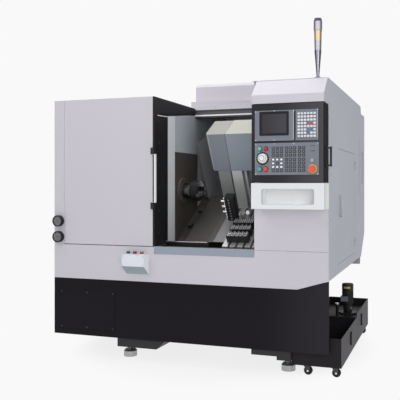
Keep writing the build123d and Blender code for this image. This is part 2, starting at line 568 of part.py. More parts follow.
with BuildPart() as chuck_body:
    along_x(CHUCK_FACE - CHUCK_L, CHUCK_FACE, SPINDLE_Y, SPINDLE_Z, CHUCK_R)
    chamfer(chuck_body.edges().filter_by(GeomType.CIRCLE), length=3)
    along_x(CHUCK_FACE - CHUCK_L - 1, CHUCK_FACE + 1, SPINDLE_Y, SPINDLE_Z, CHUCK_BORE_R, Mode.SUBTRACT)
    # Three radial slots for the jaws
    with Locations(Plane(origin=(CHUCK_FACE, SPINDLE_Y, SPINDLE_Z), x_dir=(0, 1, 0),
                         z_dir=(1, 0, 0)).location):
        with PolarLocations(50, 3, start_angle=90):
            Box(46, JAW_W, 16, mode=Mode.SUBTRACT)
chuck_body.part.label = "chuck_body"
export_step(chuck_body.part, "parts/chuck_body.step")

with BuildPart() as chuck_jaws:
    with Locations(Plane(origin=(CHUCK_FACE - 8, SPINDLE_Y, SPINDLE_Z), x_dir=(0, 1, 0),
                         z_dir=(1, 0, 0)).location):
        with PolarLocations(47, 3, start_angle=90):
            Box(38, JAW_W - 1, JAW_L / 2 + 8, align=(Align.CENTER, Align.CENTER, Align.MIN))
        with PolarLocations(40, 3, start_angle=90):
            Box(24, JAW_W - 1, JAW_L + 8, align=(Align.CENTER, Align.CENTER, Align.MIN))
chuck_jaws.part.label = "chuck_jaws"
export_step(chuck_jaws.part, "parts/chuck_jaws.step")

MOTOR_Y, MOTOR_Z, MOTOR_R = FRONT + 1000, 1150, 105
SMALL_PULLEY_R = 60
with BuildPart() as spindle_motor:
    along_x(BED_LEFT + 4, BED_LEFT + 300, MOTOR_Y, MOTOR_Z, MOTOR_R)
    with BuildSketch(Plane.YZ.offset(BED_LEFT - 12)) as mount_plate:
        with Locations((MOTOR_Y, (base_top + MOTOR_Z + MOTOR_R) / 2)):
            RectangleRounded(2 * MOTOR_R, MOTOR_Z + MOTOR_R - base_top, 12)
        with Locations((MOTOR_Y, MOTOR_Z)):
            Circle(26, mode=Mode.SUBTRACT)
    extrude(mount_plate.sketch, amount=10)
    along_x(BED_LEFT - 3, BED_LEFT + 5, MOTOR_Y, MOTOR_Z, 70)
    along_x(BED_LEFT - 15, BED_LEFT + 40, MOTOR_Y, MOTOR_Z, 16 + RUNNING, Mode.SUBTRACT)
spindle_motor.part.label = "spindle_motor"
export_step(spindle_motor.part, "parts/spindle_motor.step")

with BuildPart() as motor_pulley:
    along_x(BED_LEFT - 64, BED_LEFT + 35, MOTOR_Y, MOTOR_Z, 16)
    along_x(PULLEY_X0, PULLEY_X1, MOTOR_Y, MOTOR_Z, SMALL_PULLEY_R)
motor_pulley.part.label = "motor_pulley"
export_step(motor_pulley.part, "parts/motor_pulley.step")


def belt_loop(gap):
    """The closed outline round both pulleys, at a given distance from them."""
    with BuildSketch(Plane.YZ.offset(PULLEY_X0 + 4)) as loop:
        with BuildLine():
            CenterArc((SPINDLE_Y, SPINDLE_Z), BIG_PULLEY_R + gap, 0, 360)
            CenterArc((MOTOR_Y, MOTOR_Z), SMALL_PULLEY_R + gap, 0, 360)
        make_hull()
    return loop.sketch


BELT_T = 5
with BuildPart() as drive_belt:
    extrude(belt_loop(SEAT + BELT_T), amount=PULLEY_X1 - PULLEY_X0 - 8)
    extrude(belt_loop(SEAT), amount=PULLEY_X1 - PULLEY_X0 - 8, mode=Mode.SUBTRACT)
drive_belt.part.label = "drive_belt"
export_step(drive_belt.part, "parts/drive_belt.step")

# Carriage

with BuildPart() as saddle:
    slope_block(SADDLE_X, SADDLE_X + SADDLE_L, SADDLE_S0, SADDLE_S1, SADDLE_BOTTOM, SADDLE_TOP)
    # Lips that hold the saddle down on the outsides of the ways
    for lip_s0, lip_s1 in ((SADDLE_S0, LOWER_WAY_S - SEAT), (UPPER_WAY_S + WAY_W + SEAT, SADDLE_S1)):
        slope_block(SADDLE_X, SADDLE_X + SADDLE_L, lip_s0, lip_s1, BED_TOP + 2, SADDLE_BOTTOM + 1)
    cross_ways = (SADDLE_X + 38, SADDLE_X + 228)
    for way_x in cross_ways:
        slope_block(way_x, way_x + 50, SADDLE_S0, SADDLE_S1, SADDLE_TOP - 1, CROSS_WAY_TOP)
    # Ball nut bracket, and the telescopic cover that slides over the fixed chute plate
    slope_block(SADDLE_X + 138, SADDLE_X + 178, SCREW_S - 20, SCREW_S + 20, BED_TOP + 1, SADDLE_BOTTOM + 1)
    along_x(SADDLE_X, SADDLE_X + SADDLE_L, screw_y, screw_z, SCREW_R + RUNNING, Mode.SUBTRACT)
    slope_block(CHUTE_RIGHT - 5, cross_ways[0] + 5, CHUTE_S0 + 3, CHUTE_S1 - 20,
                plate_high + PLAY, plate_high + 2 * PLAY)
saddle.part.label = "saddle"
export_step(saddle.part, "parts/saddle.step")

with BuildPart() as z_screw:
    along_x(CHAMBER_LEFT + 22, BED_RIGHT + 16, screw_y, screw_z, SCREW_R)
    along_x(BED_RIGHT + 2, BED_RIGHT + 16, screw_y, screw_z, 28)
z_screw.part.label = "z_screw"
export_step(z_screw.part, "parts/z_screw.step")

with BuildPart() as cross_slide:
    slope_block(TABLE_X, TABLE_X + TABLE_W, TABLE_S0, TABLE_S1, TABLE_BOTTOM, 0)
    for slot in range(SLOT_COUNT):
        slot_x = SLOT_X + slot * SLOT_PITCH
        slope_block(slot_x - SLOT_NECK_W / 2, slot_x + SLOT_NECK_W / 2, TABLE_S0 - 1, TABLE_S1 + 1,
                    -SLOT_NECK_H, 1, Mode.SUBTRACT)
        slope_block(slot_x - SLOT_HEAD_W / 2, slot_x + SLOT_HEAD_W / 2, TABLE_S0 - 1, TABLE_S1 + 1,
                    -SLOT_NECK_H - SLOT_HEAD_H, -SLOT_NECK_H, Mode.SUBTRACT)
    # Gibs beside the inner faces of the cross ways
    for gib_x in (cross_ways[0] + 50 + SEAT, cross_ways[1] - SEAT - 20):
        slope_block(gib_x, gib_x + 20, TABLE_S0 + 170, TABLE_S1 - 10, SADDLE_TOP + 2, TABLE_BOTTOM + 1)
cross_slide.part.label = "cross_slide"
export_step(cross_slide.part, "parts/cross_slide.step")

block_rows = [BLOCK_S + row * BLOCK_PITCH for row in range(BLOCK_COUNT)]
tool_xs = [BLOCK_X + BLOCK_W / 2 + (tool - (TOOLS_PER_BLOCK - 1) / 2) * TOOL_PITCH
           for tool in range(TOOLS_PER_BLOCK)]
bar_s = STAND_S + 20
bar_ns = [16 + bar * BAR_PITCH for bar in range(BAR_COUNT)]
with BuildPart() as tool_blocks:
    for row_s in block_rows:
        slope_block(BLOCK_X, BLOCK_X + BLOCK_W, row_s, row_s + BLOCK_D, 0, BLOCK_H)
        for tool_x in tool_xs:
            slope_block(tool_x - SHANK / 2, tool_x + SHANK / 2, row_s - 1, row_s + BLOCK_D + 1,
                        BLOCK_H - SHANK, BLOCK_H + 1, Mode.SUBTRACT)
    # The standing block that holds the bars, on a wider foot
    slope_block(STAND_X, STAND_X + STAND_W, STAND_S, STAND_S + STAND_D, 0, STAND_H)
    slope_block(STAND_X + STAND_W - 5, HOLDER_X - 14, STAND_S + 8, STAND_S + STAND_D, 0, 22)
    for bar_n in bar_ns:
        bar_y, bar_z = slope_yz(bar_s, bar_n)
        along_x(STAND_X - 1, STAND_X + STAND_W - 8, bar_y, bar_z, BAR_R, Mode.SUBTRACT)
tool_blocks.part.label = "tool_blocks"
export_step(tool_blocks.part, "parts/tool_blocks.step")

HOLDER_S = BLOCK_S + BLOCK_COUNT * BLOCK_PITCH + 40
HOLDER_H = 52
HOLDER_R = 9
with BuildPart() as tool_clamps:
    for row_s in block_rows:
        for tool_x in tool_xs:
            slope_block(tool_x - 9.5, tool_x + 9.5, row_s + 3, row_s + BLOCK_D - 3, BLOCK_H, BLOCK_H + CLAMP_T)
    # Two collet holders and a coolant nozzle stand behind the blocks, clear of the standing block's foot
    with BuildSketch(SLANT) as holder_bases:
        with Locations((HOLDER_X, HOLDER_S), (HOLDER_X + 25, HOLDER_S), (HOLDER_X + 57, HOLDER_S)):
            Circle(HOLDER_R)
    extrude(holder_bases.sketch, amount=HOLDER_H)
    with BuildSketch(SLANT.offset(HOLDER_H - 22)) as holder_collars:
        with Locations((HOLDER_X, HOLDER_S), (HOLDER_X + 25, HOLDER_S)):
            Circle(HOLDER_R + 3)
    extrude(holder_collars.sketch, amount=14)
    nozzle_y, nozzle_z = slope_yz(HOLDER_S, HOLDER_H)
    along_y(nozzle_y - 14, nozzle_y + 14, HOLDER_X + 57, nozzle_z, HOLDER_R + 4)
tool_clamps.part.label = "tool_clamps"
export_step(tool_clamps.part, "parts/tool_clamps.step")

with BuildPart() as tool_bars:
    for row_s in block_rows:
        for tool_x in tool_xs:
            slope_block(tool_x - SHANK / 2 + 0.1, tool_x + SHANK / 2 - 0.1, row_s + 1,
                        row_s + BLOCK_D + 14, BLOCK_H - SHANK, BLOCK_H)
    for bar, bar_n in enumerate(bar_ns):
        bar_y, bar_z = slope_yz(bar_s, bar_n)
        reach = 30 if bar in (2, 4, 6) else 12
        along_x(STAND_X - reach, STAND_X + STAND_W - 8, bar_y, bar_z, BAR_R)
tool_bars.part.label = "tool_bars"
export_step(tool_bars.part, "parts/tool_bars.step")

with BuildPart() as carriage_cover:
    slope_plan([(COVER_X, COVER_S1), (COVER_X, COVER_S0 + COVER_BEVEL), (COVER_X + COVER_BEVEL, COVER_S0),
                (COVER_SEAM_X, COVER_S0), (COVER_SEAM_X, COVER_S1)], COVER_LOW, COVER_TOP)
    slope_block(COVER_SEAM_X, COVER_RIGHT, COVER_S0 - COVER_STEP, COVER_S1 + COVER_STEP,
                COVER_LOW, COVER_TOP + COVER_STEP)
    # Two tongues reach down in front, and a column carries it all on the table
    slope_block(COVER_X + 35, COVER_SEAM_X - 11, COVER_S0 + 8, COVER_S1, TONGUE_N, COVER_LOW + 1)
    slope_block(COVER_SEAM_X - 2, COVER_SEAM_X + 70, COVER_S0, COVER_S0 + 40, 0, COVER_LOW + 1)
    slope_block(COVER_SEAM_X + 80, COVER_RIGHT - 40, COVER_S0 + 90, COVER_S1, 0, COVER_LOW + 1)
    slope_block(COVER_SEAM_X - 11, COVER_SEAM_X + 81, COVER_S0 + 39, COVER_S1, TONGUE_N, COVER_LOW + 1)
    # The narrow post beside the right tongue
    slope_block(COVER_SEAM_X + 82, COVER_SEAM_X + 94, COVER_S0 + 16, COVER_S0 + 28, 0, COVER_LOW + 1)
carriage_cover.part.label = "carriage_cover"
export_step(carriage_cover.part, "parts/carriage_cover.step")

# Tray and console

with BuildPart() as tray_box:
    block(BOX_LEFT, RIGHT, FRONT - EAVE, FRONT, TRAY_BOTTOM, TRAY_TOP)
    with BuildSketch(Plane.XZ.offset(-(FRONT - EAVE))) as recess:
        with Locations((BOX_LEFT + 208.5, TRAY_BOTTOM + 68.5)):
            RectangleRounded(301, 87, 12)
    extrude(recess.sketch, amount=-118, mode=Mode.SUBTRACT)
    along_z(TRAY_TOP - 6, TRAY_TOP + 1, hinge_x, hinge_y, HINGE_R + RUNNING, Mode.SUBTRACT)
tray_box.part.label = "tray_box"
export_step(tray_box.part, "parts/tray_box.step")

CONSOLE_X0 = BOX_LEFT + 2
CONSOLE_X1 = CONSOLE_X0 + CONSOLE_W
CONSOLE_Y0 = FRONT - EAVE
CONSOLE_Z0 = TRAY_TOP + PLAY
CONSOLE_Z1 = HOOD_BOTTOM - PLAY
GRIP_X, GRIP_Y = CONSOLE_X1 + 24, FRONT - 60
UPPER = (BOX_LEFT + 23, BOX_LEFT + 383, CONSOLE_Z0 + 231, CONSOLE_Z0 + 400)
LOWER = (BOX_LEFT + 23, BOX_LEFT + 386, CONSOLE_Z0 + 42, CONSOLE_Z0 + 219)
PANEL_Y = CONSOLE_Y0 - PANEL_T
KNOB_FACE = CONSOLE_Y0 - KNOB_PROUD
KNOB = (BOX_LEFT + 69, CONSOLE_Z0 + 134)
START = (BOX_LEFT + 52, CONSOLE_Z0 + 75)
STOP = (BOX_LEFT + 86, CONSOLE_Z0 + 75)
POWER_ON = (BOX_LEFT + 53, CONSOLE_Z0 + 188)
POWER_OFF = (BOX_LEFT + 88, CONSOLE_Z0 + 188)
KEY = (BOX_LEFT + 350, CONSOLE_Z0 + 120)
ESTOP = (BOX_LEFT + 351, CONSOLE_Z0 + 75)
SCREEN = (BOX_LEFT + 52, BOX_LEFT + 217, CONSOLE_Z0 + 262, CONSOLE_Z0 + 392)
KEY_FIELD = (BOX_LEFT + 258, BOX_LEFT + 381, CONSOLE_Z0 + 242, CONSOLE_Z0 + 389)
KEY_PITCH = 17.7
STEM_R = 5
stems = [KNOB, START, STOP, POWER_ON, POWER_OFF, KEY, ESTOP]

with BuildPart() as console_box:
    block(CONSOLE_X0, CONSOLE_X1, CONSOLE_Y0, FRONT - 6, CONSOLE_Z0, CONSOLE_Z1)
    fillet(console_box.faces().sort_by(Axis.Y)[0].edges(), radius=4)
    block(CONSOLE_X0 + SHEET, CONSOLE_X1 - SHEET, CONSOLE_Y0 + 2 * SHEET, FRONT - 5,
          CONSOLE_Z0 + SHEET, CONSOLE_Z1 - SHEET, Mode.SUBTRACT)
    along_z(CONSOLE_Z0 - PLAY - 5, CONSOLE_Z0 + 2, hinge_x, hinge_y, HINGE_R)
    along_z(CONSOLE_Z1 - 2, CONSOLE_Z1 + PLAY + 5, hinge_x, hinge_y, HINGE_R)
    # Grip on the right side
    grip_z0, grip_z1 = CONSOLE_Z0 + 88, CONSOLE_Z0 + 199
    along_z(grip_z0, grip_z1, GRIP_X, GRIP_Y, 6)
    for post_z in (grip_z0 + 7, grip_z1 - 7):
        along_x(CONSOLE_X1 - 1, GRIP_X, GRIP_Y, post_z, 5)
    for stem_x, stem_z in stems:
        along_y(CONSOLE_Y0 - 1, CONSOLE_Y0 + 16, stem_x, stem_z, STEM_R + RUNNING, Mode.SUBTRACT)
console_box.part.label = "console_box"
export_step(console_box.part, "parts/console_box.step")

with BuildPart() as console_panels:
    for x0, x1, z0, z1 in (UPPER, LOWER):
        block(x0, x1, PANEL_Y, CONSOLE_Y0, z0, z1)
    block(KEY_FIELD[0], KEY_FIELD[1], PANEL_Y - 2, PANEL_Y + 1, KEY_FIELD[2], KEY_FIELD[3])
    block(SCREEN[0], SCREEN[1], PANEL_Y - 1, CONSOLE_Y0 + 1, SCREEN[2], SCREEN[3], Mode.SUBTRACT)
    # Fixed rings round the override knob and the emergency stop
    along_y(PANEL_Y - 2, PANEL_Y + 1, KNOB[0], KNOB[1], 36)
    along_y(PANEL_Y - 2, PANEL_Y + 1, ESTOP[0], ESTOP[1], 25)
    along_y(PANEL_Y - 2, PANEL_Y + 1, KEY[0], KEY[1], 10)
    for stem_x, stem_z in stems:
        along_y(PANEL_Y - 3, CONSOLE_Y0 + 1, stem_x, stem_z, STEM_R + RUNNING, Mode.SUBTRACT)
console_panels.part.label = "console_panels"
export_step(console_panels.part, "parts/console_panels.step")

with BuildPart() as screen:
    block(SCREEN[0], SCREEN[1], PANEL_Y - 2, CONSOLE_Y0, SCREEN[2], SCREEN[3])
    block(SCREEN[0] + 10, SCREEN[1] - 10, PANEL_Y - 3, PANEL_Y, SCREEN[2] + 10, SCREEN[3] - 10, Mode.SUBTRACT)
screen.part.label = "screen"
export_step(screen.part, "parts/screen.step")

field_x = (KEY_FIELD[0] + KEY_FIELD[1]) / 2
field_z = (KEY_FIELD[2] + KEY_FIELD[3]) / 2
field_keys = [(field_x + (column - 2.5) * KEY_PITCH, field_z + (row - 3.5) * KEY_PITCH)
              for column in range(6) for row in range(8)]
key_columns = [BOX_LEFT + x for x in (130, 153.5, 177, 206, 228.5, 251, 279, 302)]
key_rows = [CONSOLE_Z0 + z for z in (190, 170, 150, 127, 106.5, 86, 66)]
with BuildPart() as keypads:
    for key_x, key_z in field_keys:
        block(key_x - 6.5, key_x + 6.5, PANEL_Y - 4, PANEL_Y - 2, key_z - 5.5, key_z + 5.5)
    for key_x in key_columns:
        for key_z in key_rows:
            block(key_x - 8.5, key_x + 8.5, PANEL_Y - 2, PANEL_Y, key_z - 7.5, key_z + 7.5)
keypads.part.label = "keypads"
export_step(keypads.part, "parts/keypads.step")


def push_button(place, radius, height, lift):
    """A round button on a stem that runs back into the console; lift is its free travel."""
    x, z = place
    with BuildPart() as button:
        along_y(PANEL_Y - lift - height, PANEL_Y - lift, x, z, radius)
        chamfer(button.faces().sort_by(Axis.Y)[0].edges(), length=1.5)
        along_y(PANEL_Y - lift - 1, CONSOLE_Y0 + 6, x, z, STEM_R)
    return button


estop_button = push_button(ESTOP, 19, 16, 8)
estop_button.part.label = "estop_button"
export_step(estop_button.part, "parts/estop_button.step")

start_button = push_button(START, 12.5, 7, 5)
start_button.part.label = "start_button"
export_step(start_button.part, "parts/start_button.step")

stop_button = push_button(STOP, 12.5, 7, 5)
stop_button.part.label = "stop_button"
export_step(stop_button.part, "parts/stop_button.step")

power_on_button = push_button(POWER_ON, 10, 6, 5)
power_on_button.part.label = "power_on_button"
export_step(power_on_button.part, "parts/power_on_button.step")

power_off_button = push_button(POWER_OFF, 10, 6, 5)
power_off_button.part.label = "power_off_button"
export_step(power_off_button.part, "parts/power_off_button.step")

with BuildPart() as override_knob:
    along_y(PANEL_Y - 2 - SEAT - 5, PANEL_Y - 2 - SEAT, KNOB[0], KNOB[1], 27)
    along_y(KNOB_FACE, PANEL_Y - 2 - SEAT - 4, KNOB[0], KNOB[1], 22)
    chamfer(override_knob.faces().sort_by(Axis.Y)[0].edges(), length=2)
    along_y(PANEL_Y - 3, CONSOLE_Y0 + 12, KNOB[0], KNOB[1], STEM_R)
    block(KNOB[0] - 1.5, KNOB[0] + 1.5, KNOB_FACE - 1, KNOB_FACE + 2,
          KNOB[1] + 4, KNOB[1] + 23, Mode.SUBTRACT)
override_knob.part.label = "override_knob"
export_step(override_knob.part, "parts/override_knob.step")

with BuildPart() as key_switch:
    along_y(PANEL_Y - 8, PANEL_Y - 2 - SEAT, KEY[0], KEY[1], 7)
    along_y(PANEL_Y - 3, CONSOLE_Y0 + 12, KEY[0], KEY[1], STEM_R)
    block(KEY[0] - 1, KEY[0] + 1, PANEL_Y - 9, PANEL_Y - 5, KEY[1] - 4, KEY[1] + 4, Mode.SUBTRACT)
key_switch.part.label = "key_switch"
export_step(key_switch.part, "parts/key_switch.step")

# Switch box and gauges on the front

SWITCH_X = LEFT + 526
SWITCH_W = 152
SWITCH_TOP = 671
with BuildPart() as switch_box:
    across([(FRONT, 547), (FRONT - 65, 601), (FRONT - 65, SWITCH_TOP), (FRONT, SWITCH_TOP)],
           SWITCH_X, SWITCH_X + SWITCH_W)
    button_places = [(SWITCH_X + x, FRONT - 33) for x in (29, 74, 122)]
    for button_x, button_y in button_places:
        along_z(SWITCH_TOP - 1, SWITCH_TOP + 5, button_x, button_y, 17)
        along_z(SWITCH_TOP - 20, SWITCH_TOP + 6, button_x, button_y, 12 + RUNNING, Mode.SUBTRACT)
switch_box.part.label = "switch_box"
export_step(switch_box.part, "parts/switch_box.step")

for colour, (button_x, button_y) in zip(("green", "maroon", "orange"), button_places):
    with BuildPart() as box_button:
        along_z(SWITCH_TOP - 14, SWITCH_TOP + 20, button_x, button_y, 12)
        chamfer(box_button.faces().sort_by(Axis.Z)[-1].edges(), length=2)
    box_button.part.label = colour + "_button"
    export_step(box_button.part, "parts/" + colour + "_button.step")

with BuildPart() as pressure_gauges:
    for gauge_z in (766, 868):
        along_y(FRONT - 26, FRONT, LEFT + 37, gauge_z, 36)
        along_y(FRONT - 27, FRONT - 22, LEFT + 37, gauge_z, 29, Mode.SUBTRACT)
pressure_gauges.part.label = "pressure_gauges"
export_step(pressure_gauges.part, "parts/pressure_gauges.step")

# Side door

LATCH_Y, LATCH_Z = FRONT + 371, 1015
with BuildPart() as side_door:
    block(RIGHT - SHEET, RIGHT, side_door_y0 + 2, side_door_y1 - 2, side_door_z0 + 2, side_door_z1 - 2)
    block(RIGHT - 18, RIGHT - SHEET + 1, side_door_y0 + 22, side_door_y1 - 22,
          side_door_z0 + 22, side_door_z1 - 22)
    block(RIGHT - 19, RIGHT - SHEET, side_door_y0 + 26, side_door_y1 - 26, side_door_z0 + 26,
          side_door_z1 - 26, Mode.SUBTRACT)
    along_x(RIGHT - 12, RIGHT + 1, LATCH_Y, LATCH_Z, 6 + RUNNING, Mode.SUBTRACT)
    for knuckle_z in hinge_zs:
        block(RIGHT - 1, RIGHT + 2, side_door_y1 - 26, side_door_y1 - 3,
              knuckle_z - SEAT - KNUCKLE_L, knuckle_z - SEAT)
        along_z(knuckle_z - SEAT - KNUCKLE_L, knuckle_z - SEAT, pin_x, pin_y, KNUCKLE_R)
        block(RIGHT, pin_x, side_door_y1 - 4, pin_y, knuckle_z - SEAT - KNUCKLE_L, knuckle_z - SEAT)
        along_z(knuckle_z - SEAT - 1, knuckle_z + KNUCKLE_L - 6, pin_x, pin_y, PIN_R)
side_door.part.label = "side_door"
export_step(side_door.part, "parts/side_door.step")

with BuildPart() as side_door_latch:
    along_x(RIGHT - 8, RIGHT + 6, LATCH_Y, LATCH_Z, 6)
    with BuildSketch(Plane.YZ.offset(RIGHT + SEAT)) as paddle:
        with Locations((LATCH_Y, LATCH_Z - 46)):
            SlotOverall(136, 22, rotation=90)
    extrude(paddle.sketch, amount=14)
side_door_latch.part.label = "side_door_latch"
export_step(side_door_latch.part, "parts/side_door_latch.step")

# Tower lamp

LAMP_X, LAMP_Y = RIGHT - 62, FRONT - 5
with BuildPart() as lamp_body:
    with BuildSketch(Plane.XZ.offset(-LAMP_Y)) as lamp_profile:
        with BuildLine():
            Polyline((LAMP_X, ROOF_TOP), (LAMP_X + 20, ROOF_TOP), (LAMP_X + 20, ROOF_TOP + 4),
                     (LAMP_X + 8, ROOF_TOP + 12), (LAMP_X + 20, ROOF_TOP + 156),
                     (LAMP_X, ROOF_TOP + 156), close=True)
        make_face()
    revolve(lamp_profile.sketch, axis=Axis((LAMP_X, LAMP_Y, 0), (0, 0, 1)))
lamp_body.part.label = "lamp_body"
export_step(lamp_body.part, "parts/lamp_body.step")

with BuildPart() as lamp_lens:
    with BuildSketch(Plane.XZ.offset(-LAMP_Y)) as lens_profile:
        with BuildLine():
            Polyline((LAMP_X, ROOF_TOP + 156), (LAMP_X + 19, ROOF_TOP + 156), (LAMP_X + 22, ROOF_TOP + 270),
                     (LAMP_X + 24, ROOF_TOP + 272), (LAMP_X + 24.5, ROOF_TOP + 322),
                     (LAMP_X + 20, ROOF_TOP + 338), (LAMP_X, ROOF_TOP + 340), close=True)
        make_face()
    revolve(lens_profile.sketch, axis=Axis((LAMP_X, LAMP_Y, 0), (0, 0, 1)))
lamp_lens.part.label = "lamp_lens"
export_step(lamp_lens.part, "parts/lamp_lens.step")

# Coolant tank on casters

PUMP_X, PUMP_Y, DECK_Z = RIGHT - 34, FRONT + 900, 200
TANK_BACK = TANK_FRONT + TANK_L
caster_y = (TANK_FRONT + 45, TANK_BACK - 45)
caster_x = (TANK_LEFT + 89, TANK_RIGHT - 35)
PAD_T = 6
PAD_BOTTOM = TANK_BOTTOM - PAD_T
CROWN_T = 3.5
with BuildPart() as coolant_tank:
    block(TANK_LEFT, TANK_RIGHT, TANK_FRONT, WEIR_Y, TANK_BOTTOM, TANK_RIM)
    block(TANK_LEFT, TANK_RIGHT, WEIR_Y, TANK_BACK, TANK_BOTTOM, TANK_REAR_RIM)
    block(TANK_LEFT + SHEET, TANK_RIGHT - SHEET, TANK_FRONT + SHEET, WEIR_Y - SHEET,
          TANK_BOTTOM + SHEET, TANK_RIM + 1, Mode.SUBTRACT)
    block(TANK_LEFT + SHEET, TANK_RIGHT - SHEET, WEIR_Y, TANK_BACK - SHEET,
          DECK_Z, TANK_REAR_RIM + 1, Mode.SUBTRACT)
    # Oval fittings on the right side
    with BuildSketch(Plane.YZ.offset(TANK_RIGHT)) as fittings:
        for fitting_y, fitting_z in ((FRONT + 392, 150), (FRONT + 876, 170)):
            with Locations((fitting_y, fitting_z)):
                SlotOverall(84, 46, rotation=90)
    extrude(fittings.sketch, amount=FITTING_PROUD)
    # Fixed forks of the rear casters, and bores for the swivel pins of the front ones
    for wheel_x in caster_x:
        for cheek in (-1, 1):
            cheek_y = caster_y[1] + cheek * (WHEEL_T / 2 + 3)
            block(wheel_x - 14, wheel_x + 14, cheek_y - 1.5, cheek_y + 1.5, WHEEL_R - 8, TANK_BOTTOM + 1)
        along_y(caster_y[1] - 15, caster_y[1] + 15, wheel_x, WHEEL_R, 4 + RUNNING, Mode.SUBTRACT)
        # Pad under the tank, bored for the swivel pin of the front caster
        block(wheel_x - CASTER_TRAIL - 22, wheel_x - CASTER_TRAIL + 22, caster_y[0] - 22, caster_y[0] + 22,
              PAD_BOTTOM, TANK_BOTTOM + 1)
        along_z(PAD_BOTTOM - 1, TANK_BOTTOM - 0.5, wheel_x - CASTER_TRAIL, caster_y[0],
                PIVOT_R + RUNNING, Mode.SUBTRACT)
coolant_tank.part.label = "coolant_tank"
export_step(coolant_tank.part, "parts/coolant_tank.step")

with BuildPart() as coolant_pump:
    along_z(DECK_Z, DECK_Z + 12, PUMP_X, PUMP_Y, 62)
    along_z(DECK_Z + 11, DECK_Z + 70, PUMP_X, PUMP_Y, 30)
    along_z(DECK_Z + 69, DECK_Z + 210, PUMP_X, PUMP_Y, 37)
    along_z(DECK_Z + 166, DECK_Z + 205, PUMP_X, PUMP_Y, 40)
    block(PUMP_X - 39, PUMP_X + 12, PUMP_Y - 68, PUMP_Y - 30, DECK_Z + 93, DECK_Z + 130)
    along_y(PUMP_Y - 80, PUMP_Y, PUMP_X + 20, DECK_Z + 40, 14)
coolant_pump.part.label = "coolant_pump"
export_step(coolant_pump.part, "parts/coolant_pump.step")

for side, wheel_x in zip(("left", "right"), caster_x):
    swivel_x = wheel_x - CASTER_TRAIL
    with BuildPart() as fork:
        crown_z = PAD_BOTTOM - SEAT
        along_z(crown_z - CROWN_T, crown_z, swivel_x, caster_y[0], 16)
        along_z(crown_z - 1, TANK_BOTTOM - 1, swivel_x, caster_y[0], PIVOT_R)
        block(swivel_x, wheel_x + 12, caster_y[0] - 13.5, caster_y[0] + 13.5, crown_z - CROWN_T, crown_z)
        for cheek in (-1, 1):
            cheek_y = caster_y[0] + cheek * (WHEEL_T / 2 + 3)
            facing([(swivel_x - 4, crown_z - 1), (wheel_x - 9, WHEEL_R - 8), (wheel_x + 9, WHEEL_R - 8),
                    (wheel_x + 12, crown_z - 1)], cheek_y - 1.5, cheek_y + 1.5)
        along_y(caster_y[0] - 15, caster_y[0] + 15, wheel_x, WHEEL_R, 4 + RUNNING, Mode.SUBTRACT)
    fork.part.label = "caster_fork_" + side
    export_step(fork.part, "parts/caster_fork_" + side + ".step")

for end, wheel_y in zip(("front", "rear"), caster_y):
    for side, wheel_x in zip(("left", "right"), caster_x):
        with BuildPart() as wheel:
            along_y(wheel_y - WHEEL_T / 2, wheel_y + WHEEL_T / 2, wheel_x, WHEEL_R, WHEEL_R)
            chamfer(wheel.edges().filter_by(GeomType.CIRCLE), length=2)
            along_y(wheel_y - WHEEL_T / 2 - 4.4, wheel_y + WHEEL_T / 2 + 4.4, wheel_x, WHEEL_R, 4)
        wheel.part.label = "caster_wheel_" + end + "_" + side
        export_step(wheel.part, "parts/caster_wheel_" + end + "_" + side + ".step")
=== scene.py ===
# %% [markdown]
# # Dressing a slant-bed turning lathe
# The machine's solids come ready made, at their true size and in their true places. This notebook
# gives them their finishes and adds what is too fine for the solids: screws, dials, key caps, seals,
# ribs. Every step first says what the real piece is, and why it is made the way it is.

import math

import bmesh
import bpy
from mathutils import Matrix, Vector


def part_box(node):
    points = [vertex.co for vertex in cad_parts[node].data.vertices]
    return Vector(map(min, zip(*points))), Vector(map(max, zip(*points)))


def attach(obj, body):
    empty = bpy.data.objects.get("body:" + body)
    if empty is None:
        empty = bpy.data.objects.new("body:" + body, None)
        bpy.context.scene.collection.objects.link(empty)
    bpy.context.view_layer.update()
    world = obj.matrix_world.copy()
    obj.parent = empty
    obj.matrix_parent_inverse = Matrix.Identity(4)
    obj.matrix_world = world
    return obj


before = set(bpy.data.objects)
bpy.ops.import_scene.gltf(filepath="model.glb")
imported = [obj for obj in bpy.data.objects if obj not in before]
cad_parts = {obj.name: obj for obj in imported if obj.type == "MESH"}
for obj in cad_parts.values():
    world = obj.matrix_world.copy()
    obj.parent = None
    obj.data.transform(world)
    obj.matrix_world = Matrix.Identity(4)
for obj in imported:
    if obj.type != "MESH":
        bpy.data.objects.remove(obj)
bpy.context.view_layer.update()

# %% [markdown]
# ## Places and sizes
# A maker measures this lathe from the middle of its front panel: X to the right, Y to the back, Z up
# from the floor, in millimetres. The bed and the carriage lie on a slope of 30 degrees, so their places
# are easier to say as x, s (up the slope) and n (away from it). Two small functions turn both kinds of
# place into metres in the machine's own frame, and the frame's boxes say where the front panel is.

# %% From drawing millimetres to scene metres
front_low, front_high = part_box("front_skirt")
MIDDLE_X = (front_low.x + front_high.x) / 2
FRONT_Y = front_low.y
SLOPE = math.radians(30)
SLOPE_START = (80, 750)


def at(x, y, z):
    """A point of the drawing, in scene metres."""
    return Vector((MIDDLE_X + x / 1000, FRONT_Y + y / 1000, z / 1000))


def on_slope(x, s, n):
    """A point given along the slope and away from it."""
    return at(x, SLOPE_START[0] + s * math.cos(SLOPE) - n * math.sin(SLOPE),
              SLOPE_START[1] + s * math.sin(SLOPE) + n * math.cos(SLOPE))


UP_SLOPE = Vector((0, math.cos(SLOPE), math.sin(SLOPE)))
OFF_SLOPE = Vector((0, -math.sin(SLOPE), math.cos(SLOPE)))
print("front panel:", [round(v, 4) for v in (MIDDLE_X, FRONT_Y)])

# %% [markdown]
# ## The camera
# The photograph was taken from the front right at chest height and then cropped, which a lens shift
# repeats: verticals stay vertical, and the vanishing points fall where they do in the picture.

